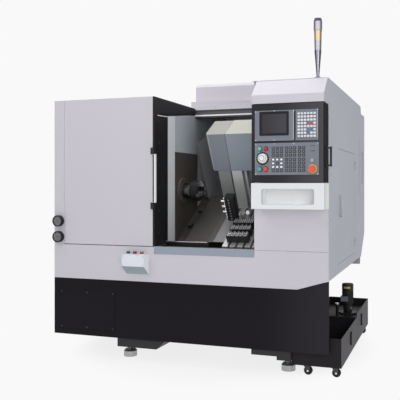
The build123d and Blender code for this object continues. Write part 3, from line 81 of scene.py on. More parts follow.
# %% Camera
camera = bpy.data.objects.new("camera", bpy.data.cameras.new("camera"))
bpy.context.collection.objects.link(camera)
camera.location = at(1543, -3471, 1090)
camera.rotation_euler = (math.radians(90), 0, math.radians(17.72))
camera.data.sensor_width = 36
camera.data.lens = 56.06
camera.data.shift_x = -0.125
camera.data.shift_y = -0.03375
camera.data.clip_end = 60
bpy.context.scene.camera = camera
print("camera at", [round(v, 3) for v in camera.location])

# %% [markdown]
# ## Light
# A catalogue picture has no lamp that you notice: a wide soft box overhead gives the tops their bright
# edges, two in front light the doors and reach into the chamber, and a pale world fills the rest. The
# side panel turns away from them and goes a third darker, which tells the eye that it is a side.

# %% World and soft boxes
scene = bpy.context.scene
scene.view_settings.view_transform = "Standard"
PAPER = (0.947, 0.947, 0.947, 1)
FILL_COLOUR = (0.98, 0.98, 1, 1)
FILL = 0.34
world = bpy.data.worlds.new("studio")
scene.world = world
world.use_nodes = True
air = world.node_tree
air.nodes.clear()
rays = air.nodes.new("ShaderNodeLightPath")
seen = air.nodes.new("ShaderNodeMath")
seen.operation = "MAXIMUM"
seen_more = air.nodes.new("ShaderNodeMath")
seen_more.operation = "MAXIMUM"
air.links.new(rays.outputs["Is Camera Ray"], seen.inputs[0])
air.links.new(rays.outputs["Is Glossy Ray"], seen.inputs[1])
air.links.new(seen.outputs[0], seen_more.inputs[0])
air.links.new(rays.outputs["Is Transmission Ray"], seen_more.inputs[1])
paper = air.nodes.new("ShaderNodeBackground")
paper.inputs["Color"].default_value = PAPER
fill = air.nodes.new("ShaderNodeBackground")
fill.inputs["Color"].default_value = FILL_COLOUR
fill.inputs["Strength"].default_value = FILL
either = air.nodes.new("ShaderNodeMixShader")
air.links.new(seen_more.outputs[0], either.inputs[0])
air.links.new(fill.outputs[0], either.inputs[1])
air.links.new(paper.outputs[0], either.inputs[2])
air.links.new(either.outputs[0], air.nodes.new("ShaderNodeOutputWorld").inputs["Surface"])


def soft_box(name, place, aim, width, height, watts):
    """A rectangular lamp that looks at a point."""
    lamp = bpy.data.lights.new(name, "AREA")
    lamp.shape = "RECTANGLE"
    lamp.size, lamp.size_y = width, height
    lamp.energy = watts
    holder = bpy.data.objects.new(name, lamp)
    bpy.context.collection.objects.link(holder)
    holder.location = place
    holder.rotation_euler = (Vector(aim) - Vector(place)).to_track_quat("-Z", "Y").to_euler()


soft_box("overhead", (-0.4, -0.6, 5.2), (0, 0, 1.2), 5.0, 4.0, 132)
soft_box("front left", (-2.6, -5.0, 4.6), (0, 0, 1.0), 3.0, 2.0, 74)
soft_box("front right", (2.6, -4.8, 2.0), (0, 0, 1.1), 2.0, 2.0, 62)

# %% [markdown]
# ## Shader maths in plain Python
# A finish is a formula: paint, plus a little grain, plus dirt where hands reach. Writing each Math node
# out by hand hides that formula, so a small class wraps a socket and lets Python's own operators add
# the nodes. Any other node comes from one method, which takes its type, its settings and its sockets.


# %% Wires and finishes
class Wire:
    """A shader value. Each operator adds the Math node that it stands for."""

    def __init__(self, tree, socket):
        self.tree = tree
        self.socket = socket

    def math(self, operation, first, second=0.0, clamp=False):
        sum_node = self.tree.nodes.new("ShaderNodeMath")
        sum_node.operation = operation
        sum_node.use_clamp = clamp
        for slot, value in enumerate((first, second)):
            plug(self.tree, sum_node.inputs[slot], value)
        return Wire(self.tree, sum_node.outputs[0])

    def __add__(self, other):
        return self.math("ADD", self, other)

    def __sub__(self, other):
        return self.math("SUBTRACT", self, other)

    def __mul__(self, other):
        return self.math("MULTIPLY", self, other)

    def __gt__(self, other):
        return self.math("GREATER_THAN", self, other)

    def __lt__(self, other):
        return self.math("LESS_THAN", self, other)

    def __truediv__(self, other):
        return self.math("DIVIDE", self, other)

    def __rsub__(self, other):
        return self.math("SUBTRACT", other, self)

    __radd__ = __add__
    __rmul__ = __mul__

    def clamped(self):
        """The value, kept from 0 to 1."""
        return self.math("ADD", self, 0.0, clamp=True)

    def other(self, name):
        """Another output of the node that this value comes from."""
        return Wire(self.tree, self.socket.node.outputs[name])


def plug(tree, socket, value):
    """Links a wire to a socket, or sets the socket to a plain value."""
    if isinstance(value, Wire):
        tree.links.new(value.socket, socket)
    else:
        socket.default_value = value


class Bench:
    """A node tree that is being wired, for a material or for a shape."""

    def __init__(self, tree):
        self.tree = tree

    def node(self, kind, sockets=(), output=0, stops=(), **settings):
        """Any node: its type, its settings and ramp stops, then its sockets by name or number."""
        made = self.tree.nodes.new(kind)
        for key, value in settings.items():
            setattr(made, key, value)
        if stops:
            ramp = made.color_ramp
            while len(ramp.elements) < len(stops):
                ramp.elements.new(0.5)
            for element, (position, shade) in zip(ramp.elements, stops):
                element.position = position
                element.color = (*shade, 1) if len(shade) == 3 else shade
        for key, value in dict(sockets).items():
            plug(self.tree, made.inputs[key], value)
        return Wire(self.tree, made.outputs[output])


class Finish(Bench):
    """A material for one of the machine's surfaces."""

    def __init__(self, name, colour, roughness=0.5, metallic=0.0, **constants):
        self.material = bpy.data.materials.new(name)
        self.material.use_nodes = True
        super().__init__(self.material.node_tree)
        self.shader = self.tree.nodes["Principled BSDF"]
        self.colour = (*colour, 1)
        self.set("Base Color", self.colour)
        self.set("Roughness", roughness)
        self.set("Metallic", metallic)
        for socket, value in constants.items():
            self.set(socket.replace("_", " "), value)
        self.material.diffuse_color = self.colour

    def set(self, socket, value):
        plug(self.tree, self.shader.inputs[socket], value)

    def place(self, scale=(1, 1, 1)):
        """Object coordinates, stretched if a scale is given."""
        spot = self.node("ShaderNodeTexCoord", output="Object")
        if scale == (1, 1, 1):
            return spot
        return self.node("ShaderNodeMapping", {"Vector": spot, "Scale": scale})

    def axis(self, name):
        """One of the Object coordinates by itself."""
        return self.node("ShaderNodeSeparateXYZ", {0: self.place()}, output=name)

    def noise(self, scale, detail=3.0, stretch=(1, 1, 1)):
        return self.node("ShaderNodeTexNoise", {"Vector": self.place(stretch), "Scale": scale,
                                                "Detail": detail})

    def between(self, value, low, high):
        """0 below low, 1 above high, and smooth between them."""
        return self.node("ShaderNodeMapRange", {"Value": value, "From Min": low, "From Max": high},
                         interpolation_type="SMOOTHSTEP")

    def mix(self, factor, first, second):
        """One colour over another."""
        return self.node("ShaderNodeMix", {0: factor, 6: first, 7: second}, output=2, data_type="RGBA")

    def rounded(self, radius):
        """The surface's normal with its sharp edges softened, as a folded sheet has them."""
        return self.node("ShaderNodeBevel", {"Radius": radius}, samples=4)

    def relief(self, height, depth, strength=1.0, normal=None):
        """Bump of a height from 0 to 1 and a depth in metres."""
        sockets = {"Height": height, "Distance": depth, "Strength": strength}
        if normal is not None:
            sockets["Normal"] = normal
        self.set("Normal", self.node("ShaderNodeBump", sockets))


def tone(colour, factor):
    """A colour made darker or lighter."""
    return (*(min(1.0, c * factor) for c in colour[:3]), 1)


print("Wire and Finish are ready")

# %% [markdown]
# ## Where a finish changes
# Some solids carry more than one finish: a liner that is pale by the door, a panel whose side turns away
# from the lamps. A mask says where, as 0 or 1 or something between, and a finish mixes its colours by it.

# %% Masks
def over(name, level):
    """A mask of all that lies beyond a level of one coordinate, in metres."""
    return lambda finish: finish.axis(name) > level


def below(name, level):
    """A mask of all that lies short of it."""
    return lambda finish: finish.axis(name) < level


def fading(name, low, high):
    """A mask that grows from a low to a high place."""
    return lambda finish: finish.between(finish.axis(name), low, high)


def facing(name, least):
    """Surfaces that look along one of the piece's own axes; a negative limit asks for the other way.

    The normal is turned into the piece's own space, so a door keeps its colours when it swings.
    """
    def mask(finish):
        normal = finish.node("ShaderNodeNewGeometry", output="True Normal")
        own = finish.node("ShaderNodeVectorTransform", {0: normal}, vector_type="NORMAL",
                          convert_from="WORLD", convert_to="OBJECT")
        part = finish.node("ShaderNodeSeparateXYZ", {0: own}, output=name)
        return part > least if least > 0 else part < least
    return mask


def both(one, other):
    """A mask of what two masks share."""
    return lambda finish: one(finish) * other(finish)


print("masks ready")

# %% [markdown]
# ## Painted sheet
# The panels are folded sheet with a baked powder coat: nearly even in colour, a faint orange-peel
# texture, and round bends that catch the light. A bevel node softens the solids' sharp edges, so the
# bends show without a single extra face. A little dust settles low down.


# %% Powder coat
DUST_COLOUR = (0.372, 0.348, 0.312, 1)


def powder_coat(name, colour, roughness=0.45, bend=0.003, dust=0.10, peel=0.00006, shine=0.35, bands=()):
    """Baked paint on folded sheet; each band is a mask maker and a colour."""
    coat = Finish(name, colour, roughness, Specular_IOR_Level=shine)
    cloud = coat.noise(2.2, 4)
    speck = coat.noise(55, 5)
    low_down = 1 - coat.between(coat.axis("Z"), 0.12, 0.62)
    soiling = (low_down * cloud * dust * 1.6 + (speck > 0.68) * dust * 0.25).clamped()
    varied = coat.mix((cloud - 0.3).clamped() * 0.18, coat.colour, tone(colour, 0.90))
    for mask, shade in bands:
        varied = coat.mix(mask(coat), varied, (*shade, 1))
    coat.set("Base Color", coat.mix(soiling, varied, DUST_COLOUR))
    coat.set("Roughness", (cloud * 0.14 + (roughness - 0.05) + soiling * 0.3).clamped())
    coat.relief(coat.noise(620, 2), peel, 0.6, coat.rounded(bend))
    return coat.material


# Painted shade: faces turned to the right, away from the lamps, get a darker, bluer copy of the white.
painted_shade_side = (facing("X", 0.8), (0.515, 0.530, 0.605))
# Painted light on the switch box: its right face lighter; painted shade: its underside a darker blue-grey.
box_painted_light_bands = [(facing("X", 0.8), (0.90, 0.92, 0.97)), (facing("Z", -0.3), (0.37, 0.44, 0.48))]
# Painted light: the tray's recess, behind its front, is painted nearly white against its shade.
tray_painted_light_bands = [(over("Y", FRONT_Y - 0.10), (0.99, 1.0, 1.0))]
# Painted light: the black skirt is painted lighter towards its right end.
skirt_painted_light_bands = [(fading("X", MIDDLE_X + 0.45, MIDDLE_X + 0.90), (0.020, 0.017, 0.0225))]
# Painted light: the console is painted lighter towards its right end; painted shade: its side faces are near
# black.
console_painted_light_bands = [(fading("X", MIDDLE_X + 0.60, MIDDLE_X + 0.88), (0.078, 0.077, 0.084)),
                 (facing("X", 0.5), (0.002, 0.002, 0.002))]
# Painted light and shade on the tank: its top painted darker, its right faces lighter.
tank_painted_light_bands = [(facing("Z", 0.8), (0.0045, 0.0042, 0.0045)), (facing("X", 0.8), (0.030, 0.0255, 0.033))]
body_white = powder_coat("body white powder coat", (0.61, 0.59, 0.645), 0.42, bands=[painted_shade_side])
box_white = powder_coat("switch box coat", (0.76, 0.79, 0.86), 0.4, 0.002, 0.03, bands=box_painted_light_bands)
# Painted shade: the side panels, their door and grille get the body white a little darker and bluer.
shaded_side_white = powder_coat("side grey powder coat", (0.58, 0.58, 0.64), 0.45, bands=[painted_shade_side])
tray_white = powder_coat("tray white powder coat", (0.79, 0.805, 0.83), 0.38, 0.002, 0.03, bands=tray_painted_light_bands)
skirt_black = powder_coat("base black powder coat", (0.0050, 0.0036, 0.0066), 0.50, 0.003, 0.006,
                          shine=0.13, bands=skirt_painted_light_bands)
frame_black = powder_coat("door frame black coat", (0.019, 0.018, 0.022), 0.45, 0.002, 0.01, shine=0.12)
console_black = powder_coat("console black coat", (0.034, 0.034, 0.040), 0.55, 0.002, 0.012, 0.0001, 0.02,
                            bands=console_painted_light_bands)
tank_black = powder_coat("tank black powder coat", (0.0085, 0.0068, 0.0105), 0.48, 0.002, 0.02,
                         shine=0.15, bands=tank_painted_light_bands)
print("powder coats:", [m.name for m in bpy.data.materials if "coat" in m.name])

# %% [markdown]
# ## Ground steel and castings
# Slides, screws and spindle are ground or turned steel: bright, with fine lines along the way they were
# cut. The bed and the headstock are painted castings with a pebbled skin. The lines are one noise that
# is stretched along an axis, and the pebbles are the same noise left round.


# %% Bare metals
def ground_steel(name, colour, roughness=0.26, lines=(1, 40, 1), metallic=1.0):
    """Machined steel with fine lines."""
    steel = Finish(name, colour, roughness, metallic)
    scratches = steel.noise(160, 3, lines)
    stain = steel.noise(9, 5)
    steel.set("Base Color", steel.mix((stain - 0.45).clamped() * 0.9, steel.colour, tone(colour, 0.55)))
    steel.set("Roughness", (scratches * 0.24 + (roughness - 0.1) + (stain - 0.5) * 0.15).clamped())
    steel.relief(scratches, 0.00003, 0.5, steel.rounded(0.0006))
    return steel.material


def casting(name, colour, roughness=0.55, shine=0.3, pebble=0.0003, bands=()):
    """Painted cast iron with a pebbled skin."""
    iron = Finish(name, colour, roughness, Specular_IOR_Level=shine)
    pebbles = iron.noise(240, 5)
    blotch = iron.noise(6, 4)
    shade = iron.mix((blotch - 0.4).clamped() * 0.8, iron.colour, tone(colour, 1.5))
    for mask, patch in bands:
        shade = iron.mix(mask(iron), shade, (*patch, 1))
    iron.set("Base Color", shade)
    iron.set("Roughness", (blotch * 0.2 + (roughness - 0.1)).clamped())
    iron.relief(pebbles, pebble, 0.5, iron.rounded(0.002))
    return iron.material


table_steel = ground_steel("ground table steel", (0.50, 0.50, 0.49), 0.32, (1, 40, 1), metallic=0.7)
spindle_steel = ground_steel("turned spindle steel", (0.15, 0.145, 0.14), 0.20, (40, 1, 1))
jaw_steel = ground_steel("hardened jaw steel", (0.30, 0.29, 0.29), 0.26, (1, 30, 1), metallic=0.9)
clamp_steel = ground_steel("clamp steel", (0.66, 0.66, 0.68), 0.32, (1, 30, 1), metallic=0.85)
tip_steel = ground_steel("bright bar steel", (0.74, 0.74, 0.75), 0.24, (30, 1, 1))
plated = ground_steel("zinc plated steel", (0.42, 0.43, 0.44), 0.34, (1, 1, 20), metallic=0.85)
dark_screw = ground_steel("blackened screw steel", (0.060, 0.060, 0.066), 0.38, (20, 20, 1), metallic=0.5)
# Painted light: faces of the casting that look up and to the front are painted lighter than the charcoal.
base_iron = casting("charcoal casting", (0.024, 0.024, 0.026), bands=[
    (both(facing("Y", -0.4), facing("Z", 0.5)), (0.070, 0.062, 0.058))])
head_iron = casting("headstock casting", (0.082, 0.073, 0.064), 0.5)
black_oxide = casting("black oxide tool steel", (0.012, 0.012, 0.014), 0.42, 0.35, 0.00008)
print("metals:", len([m for m in bpy.data.materials if "steel" in m.name or "casting" in m.name]))

# %% [markdown]
# ## Rolled sheet in bands
# The chamber is lined with rolled stainless sheet. The liner is darker towards the back of the chamber,
# except low down, as painted shade, and a near-white strip along the edge by the door is painted light.
# The carriage cover's faces are blue-grey; its tops, its faces turned left and its lower shrouds are
# painted lighter, as painted light. The chute is dark with oil. The guide rail has a painted front; its
# recess and underside are dark as painted shade, and its lower lip is white as painted light. One maker
# serves them all: it takes masks and colours.


# %% Banded finishes
def banded(name, base, bands, roughness=0.36, metallic=0.4, grain=(1, 14, 1), shine=0.5):
    """Rolled sheet whose colour changes from band to band; each band is a mask maker and a colour."""
    sheet = Finish(name, base, roughness, metallic, Specular_IOR_Level=shine)
    grains = sheet.noise(70, 4, grain)
    patches = sheet.noise(3.2, 5)
    shade = sheet.colour
    for mask, colour in bands:
        shade = sheet.mix(mask(sheet), shade, (*colour, 1))
    worn = ((patches - 0.45).clamped() * 0.35 + (grains - 0.5) * 0.22).clamped()
    sheet.set("Base Color", sheet.mix(worn, shade, (0.10, 0.10, 0.105, 1)))
    sheet.set("Roughness", (grains * 0.16 + (roughness - 0.08)).clamped())
    sheet.relief(grains, 0.00005, 0.4, sheet.rounded(0.0012))
    return sheet.material


LINER_EDGE_Y = FRONT_Y + 0.310
SHROUD_TOP_Z = 1.19
COVER_SEAM_X = MIDDLE_X + 0.2205
# Painted shade: the liner is darker towards the back of the chamber, except low down. Painted light: a
# near-white strip along the edge by the door.
liner = banded("chamber liner stainless", (0.61, 0.665, 0.725), [
    (fading("Y", LINER_EDGE_Y + 0.02, LINER_EDGE_Y + 0.50), (0.36, 0.385, 0.40)),
    (fading("Z", 1.44, 1.20), (0.62, 0.66, 0.68)),
    (below("Y", LINER_EDGE_Y), (0.96, 0.985, 1.0)),
], 0.40, 0.02)
right_cover, shrouds = over("X", COVER_SEAM_X), below("Z", SHROUD_TOP_Z)
# Painted light on the cover: its tops, its faces turned left and its lower shrouds, the right one most, are
# painted lighter. The thin dark line is the seam between the two covers.
cover_steel = banded("carriage cover stainless", (0.217, 0.242, 0.285), [
    (right_cover, (0.28, 0.325, 0.378)),
    (shrouds, (0.30, 0.305, 0.305)),
    (both(right_cover, shrouds), (0.62, 0.63, 0.62)),
    (facing("X", -0.5), (0.62, 0.63, 0.64)),
    (facing("Z", 0.8), (0.28, 0.275, 0.25)),
    (both(right_cover, facing("Z", 0.8)), (0.39, 0.39, 0.345)),
    (both(over("X", COVER_SEAM_X - 0.0015), below("X", COVER_SEAM_X + 0.0017)), (0.03, 0.03, 0.032)),
], 0.34, 0.25)
# Painted light: the guard plate's right face high up is painted lighter; painted shade: faces looking to the
# front are near black. The blue-grey strip at the very front is the sill's own sheet.
chute_steel = banded("chute sheet, oily", (0.072, 0.065, 0.061), [
    (both(facing("X", 0.8), over("Z", 1.0)), (0.36, 0.365, 0.365)),
    (facing("Y", -0.9), (0.012, 0.011, 0.011)),
    (below("Y", FRONT_Y + 0.006), (0.30, 0.345, 0.41)),
], 0.40, 0.35, (14, 1, 1))
# Painted light: the carriage's faces that look to the front are painted bright.
carriage_iron = banded("carriage top, ground", (0.080, 0.076, 0.074), [
    (over("X", MIDDLE_X + 0.138), (0.24, 0.24, 0.245)),
    (facing("Y", -0.8), (0.75, 0.75, 0.76)),
], 0.40, 0.3, (14, 1, 1))
# Painted shade: the recess under the painted front and the underside are dark. Painted light: the lower lip
# is white.
rail_steel = banded("guide rail sheet", (0.58, 0.57, 0.62), [
    (below("Z", 1.634), (0.115, 0.112, 0.135)),
    (below("Z", 1.600), (1.0, 1.0, 1.0)),
    (below("Z", 1.590), (0.030, 0.028, 0.026)),
], 0.42, 0.1)
print("banded sheets ready")

# %% [markdown]
# ## Plastics, rubber, chrome and glass
# Buttons and keys are moulded: even in colour, a fine spark-eroded texture, a soft shine. The tower
# lamp's foot is chromed, its lens clear plastic with an amber band. Chrome shows dark and light streaks
# along its length, because it mirrors a room; here they are painted reflections, streaks round the
# lamp's axis in the colour of the chrome and of the lens.


# %% Moulded finishes
def moulded(name, colour, roughness=0.4, texture=0.00004, **constants):
    """Injection moulded plastic."""
    plastic = Finish(name, colour, roughness, **constants)
    mottle = plastic.noise(30, 3)
    plastic.set("Base Color", plastic.mix((mottle - 0.4).clamped() * 0.3, plastic.colour, tone(colour, 0.8)))
    plastic.set("Roughness", (mottle * 0.12 + (roughness - 0.05)).clamped())
    plastic.relief(plastic.noise(1400, 2), texture, 0.5, plastic.rounded(0.0006))
    return plastic.material


black_plastic = moulded("black plastic", (0.012, 0.012, 0.014), 0.40, Specular_IOR_Level=0.25)
panel_grey = moulded("control panel grey", (0.205, 0.220, 0.260), 0.48, Specular_IOR_Level=0.2)
red_plastic = moulded("red button", (0.55, 0.018, 0.025), 0.25)
mushroom_red = moulded("emergency stop red", (0.78, 0.105, 0.065), 0.28)
stop_plastic = moulded("stop button red", (0.66, 0.085, 0.055), 0.28)
green_plastic = moulded("start button green", (0.09, 0.36, 0.36), 0.28)
power_green = moulded("power on green", (0.16, 0.52, 0.38), 0.3)
dark_green = moulded("dark green button", (0.022, 0.085, 0.060), 0.3)
maroon_plastic = moulded("maroon button", (0.22, 0.020, 0.050), 0.3)
orange_plastic = moulded("orange button", (0.30, 0.11, 0.045), 0.3)
yellow_plastic = moulded("yellow ring", (0.82, 0.56, 0.04), 0.35)
key_white = moulded("white key caps", (0.86, 0.87, 0.90), 0.42)
key_grey = moulded("grey key caps", (0.135, 0.142, 0.160), 0.46, Specular_IOR_Level=0.2)
key_red = moulded("red key caps", (0.62, 0.05, 0.07), 0.4)
key_blue = moulded("blue key caps", (0.06, 0.20, 0.42), 0.4)
ink = moulded("printed ink", (0.02, 0.02, 0.025), 0.6)
pale_ink = moulded("pale ink", (0.70, 0.71, 0.73), 0.5)
dial_grey = moulded("gauge dial", (0.13, 0.13, 0.145), 0.5)
rubber = moulded("black rubber", (0.016, 0.016, 0.016), 0.72, 0.0002, Specular_IOR_Level=0.3)
motor_grey = powder_coat("motor paint", (0.018, 0.019, 0.023), 0.45, 0.002, 0.03, shine=0.25)
plate_yellow = moulded("yellow plate", (0.62, 0.44, 0.10), 0.4)
glass = Finish("screen glass", (0.042, 0.040, 0.052), 0.16, Specular_IOR_Level=0.25)
glass.set("Roughness", (glass.noise(40, 2) * 0.08 + 0.13).clamped())
# Painted reflection: the screen's glass is painted lighter towards its right end.
glass.set("Base Color", glass.mix(glass.between(glass.axis("X"), MIDDLE_X + 0.54, MIDDLE_X + 0.70),
                                  (0.038, 0.034, 0.042, 1), (0.055, 0.056, 0.068, 1)))
clear = Finish("gauge glass", (1, 1, 1), 0.03, Transmission_Weight=1.0, IOR=1.45)
clear.set("Roughness", (clear.noise(60, 2) * 0.03 + 0.01).clamped())
print("moulded:", [m.name for m in bpy.data.materials if "button" in m.name])

# %% [markdown]
# Some mouldings have two colours: the handle has black ends, the tool shanks are dark where the standing
# bars are bright, the knob has a grey ring, and the lower key bed is black. A comparison picks the place.

# %% Plastics and shanks of two colours
INK_BLACK = (0.012, 0.012, 0.014)


def two_tone(finish, mask, second, mottle, spread, smoothest):
    """Gives the masked part its second colour, and the whole a roughness that varies a little."""
    finish.set("Base Color", finish.mix(mask, finish.colour, (*second, 1)))
    finish.set("Roughness", (mottle * spread + smoothest).clamped())


handle_finish = Finish("white handle, black ends", (0.84, 0.84, 0.86), 0.4, Specular_IOR_Level=0.1)
ends = (handle_finish.axis("Z") < 0.992) + (handle_finish.axis("Z") > 1.288)
two_tone(handle_finish, ends, INK_BLACK, handle_finish.noise(30, 3), 0.12, 0.26)
handle_finish.relief(handle_finish.noise(1400, 2), 0.00004, 0.5, handle_finish.rounded(0.002))
bars_finish = Finish("shanks dark, bars bright", (0.035, 0.035, 0.038), 0.36, 0.6)
standing = bars_finish.axis("X") < MIDDLE_X + 0.262
two_tone(bars_finish, standing, (0.74, 0.74, 0.75), bars_finish.noise(160, 3, (30, 1, 1)), 0.24, 0.2)
keys_finish = Finish("key beds", (0.62, 0.63, 0.66), 0.45)
two_tone(keys_finish, keys_finish.axis("Z") < 1.34, INK_BLACK, keys_finish.noise(30, 3), 0.1, 0.4)
print("two-colour finishes:", handle_finish.material.name, "and", bars_finish.material.name)

# %% Knob with a grey ring
knob_finish = Finish("white knob with a grey ring", (0.82, 0.82, 0.83), 0.28)
from_axis = knob_finish.node("ShaderNodeVectorMath", {0: knob_finish.place(), 1: tuple(at(554, 0, 1246))},
                             operation="SUBTRACT")
from_axis = knob_finish.node("ShaderNodeVectorMath", {0: from_axis, 1: (1, 0, 1)}, operation="MULTIPLY")
span = knob_finish.node("ShaderNodeVectorMath", {0: from_axis}, output="Value", operation="LENGTH")
grey_ring = (span > 0.0135) * (span < 0.0165)
two_tone(knob_finish, grey_ring, (0.22, 0.22, 0.25), knob_finish.noise(30, 3), 0.1, 0.22)
print("knob ring from 13.5 to 16.5 mm")

# %% The lamp's two finishes
lamp_low, lamp_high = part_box("lamp_lens")
LAMP_AXIS = ((lamp_low.x + lamp_high.x) / 2, (lamp_low.y + lamp_high.y) / 2)


def round_the_lamp(finish, times, start=0.0):
    """Streaks along the lamp: a wave from 0 to 1, that many times round the axis."""
    east = finish.axis("X") - LAMP_AXIS[0]
    north = finish.axis("Y") - LAMP_AXIS[1]
    angle = finish.node("ShaderNodeMath", {0: north, 1: east}, operation="ARCTAN2")
    wave = finish.node("ShaderNodeMath", {0: angle * times + start}, operation="COSINE")
    return wave * 0.5 + 0.5


STREAK_START = math.radians(-78.5)
AMBER_LOW, AMBER_HIGH, CAP_LOW = 1.912, 1.968, 2.020
chrome = Finish("lamp chrome", (0.60, 0.60, 0.64), 0.22, 0.3, Specular_IOR_Level=0.2)
# Painted reflections: dark and light streaks round the lamp's axis, put in the chrome's colour.
chrome_painted_reflections = round_the_lamp(chrome, 3, -3 * STREAK_START) * 0.75 + round_the_lamp(chrome, 11) * 0.25
chrome.set("Base Color", chrome.mix(chrome.between(chrome_painted_reflections, 0.18, 0.80), (0.045, 0.048, 0.070, 1),
                                    (0.36, 0.365, 0.41, 1)))
chrome.set("Roughness", (chrome.noise(18, 3) * 0.1 + 0.14).clamped())
lens = Finish("lamp lens", (0.6, 0.6, 0.63), 0.14, Specular_IOR_Level=0.4)
height = lens.axis("Z")
# Painted reflections on the lens: the same dark and light streaks, in the clear part and the amber band.
streaks = lens.between(round_the_lamp(lens, 3, -3 * STREAK_START), 0.15, 0.72)
fine = round_the_lamp(lens, 24)
plain = lens.mix(streaks, (0.11, 0.11, 0.15, 1), (0.66, 0.64, 0.70, 1))
amber = lens.mix(streaks, (0.30, 0.13, 0.075, 1), (0.88, 0.76, 0.44, 1))
in_amber = (height > AMBER_LOW) * (height < AMBER_HIGH)
banded_lens = lens.mix(in_amber, plain, amber)
lens.set("Base Color", lens.mix(height > CAP_LOW, banded_lens, (0.07, 0.08, 0.11, 1)))
lens.set("Roughness", (fine * 0.1 + 0.1).clamped())
lens.relief(fine, 0.0005, 0.6)
print("lamp axis", [round(v, 4) for v in LAMP_AXIS])

# %% [markdown]
# ## Which finish goes on which solid
# A dictionary is the clearest parts list: one line for each finish, and under it the solids that are
# made of it.

# %% Dress the solids
wardrobe = {
    body_white: ["front_panel", "left_housing", "right_column", "roof_panel", "sliding_door",
                 "electrical_cabinet"],
    box_white: ["switch_box"],
    shaded_side_white: ["right_side_panel", "side_door", "vent_grille"],
    tray_white: ["tray_box"],
    skirt_black: ["front_skirt", "inspection_panel"],
    frame_black: ["door_end_frame"],
    console_black: ["console_box"],
    panel_grey: ["console_panels"],
    tank_black: ["coolant_tank"],
    base_iron: ["base_casting"],
    head_iron: ["headstock"],
    carriage_iron: ["saddle"],
    liner: ["inner_wall"],
    cover_steel: ["carriage_cover"],
    chute_steel: ["chute_plates"],
    rail_steel: ["guide_rail"],
    table_steel: ["cross_slide"],
    spindle_steel: ["spindle", "z_screw", "motor_pulley"],
    black_oxide: ["tool_blocks", "chuck_body"],
    jaw_steel: ["chuck_jaws"],
    clamp_steel: ["tool_clamps"],
    bars_finish.material: ["tool_bars"],
    plated: ["leveling_feet", "key_switch", "side_door_latch"],
    dark_screw: ["caster_fork_left", "caster_fork_right"],
    handle_finish.material: ["door_handle"],
    black_plastic: ["pressure_gauges"],
    keys_finish.material: ["keypads"],
    glass.material: ["screen"],
    red_plastic: ["power_off_button"],
    mushroom_red: ["estop_button"],
    stop_plastic: ["stop_button"],
    green_plastic: ["start_button"],
    power_green: ["power_on_button"],
    dark_green: ["green_button"],
    maroon_plastic: ["maroon_button"],
    orange_plastic: ["orange_button"],
    knob_finish.material: ["override_knob"],
    rubber: ["drive_belt", "caster_wheel_front_left", "caster_wheel_front_right",
             "caster_wheel_rear_left", "caster_wheel_rear_right"],
    motor_grey: ["spindle_motor", "coolant_pump"],
    chrome.material: ["lamp_body"],
    lens.material: ["lamp_lens"],
}
for finish, solids in wardrobe.items():
    for solid in solids:
        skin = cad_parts[solid].data
        skin.materials.clear()
        skin.materials.append(finish)
bare = sorted(set(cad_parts) - {name for names in wardrobe.values() for name in names})
print("solids without a finish:", bare)

# %% [markdown]
# ## Small tools for the bench
# Every added piece is drawn flat, in millimetres, on its own little bench: Z is up and away from what
# carries it. A matrix then stands it on its place, and the piece's object stays at the origin, as the
# solids' objects do. So a screw is drawn once, whether it ends up on a door or on the 30 degree slope.


# %% Standing a piece on its place
FRONT = Vector((0, -1, 0))
SIDE = Vector((1, 0, 0))
LEFTWARD = Vector((-1, 0, 0))
TOP = Vector((0, 0, 1))
BACK = Vector((0, 1, 0))


def stand(spot, outward, up=TOP):
    """A matrix with Z outward and Y as near to up as it can be; up needs to be another direction."""
    out = Vector(outward).normalized()
    across = Vector(up).cross(out).normalized()
    turned_frame = Matrix((across, out.cross(across), out)).transposed().to_4x4()
    return Matrix.Translation(spot) @ turned_frame


def keep(name, shape, finish, body="machine", place=None):
    """Makes a shape a finished piece that rides on one of the machine's bodies."""
    if isinstance(shape, bmesh.types.BMesh):
        bmesh.ops.remove_doubles(shape, verts=shape.verts, dist=1e-7)
        bmesh.ops.recalc_face_normals(shape, faces=shape.faces)
        mesh = bpy.data.meshes.new(name)
        shape.to_mesh(mesh)
        shape.free()
    else:
        mesh = shape
    if place is not None:
        mesh.transform(place)
    mesh.materials.clear()
    mesh.materials.append(finish)
    piece = bpy.data.objects.new(name, mesh)
    bpy.context.collection.objects.link(piece)
    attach(piece, body)
    return piece


def joined(*shapes):
    """Several bench shapes as one."""
    whole = bmesh.new()
    for shape in shapes:
        part = bpy.data.meshes.new("part")
        bmesh.ops.recalc_face_normals(shape, faces=shape.faces)
        shape.to_mesh(part)
        shape.free()
        whole.from_mesh(part)
        bpy.data.meshes.remove(part)
    return whole


def merged(name, meshes, finish, body="machine"):
    """Many small meshes kept as one piece."""
    whole = bmesh.new()
    for mesh in meshes:
        whole.from_mesh(mesh)
        bpy.data.meshes.remove(mesh)
    return keep(name, whole, finish, body)


print("bench ready")

# %% [markdown]
# ## Turned and cut shapes
# Nearly all of a machine's small parts are turned on a lathe or cut from plate, and these helpers do the
# same with a bmesh. A profile of radius and height is spun into a knob or a ring, and an outline becomes
# a plate with a bevelled rim or a flat frame. Digits are plain type, made into a mesh.


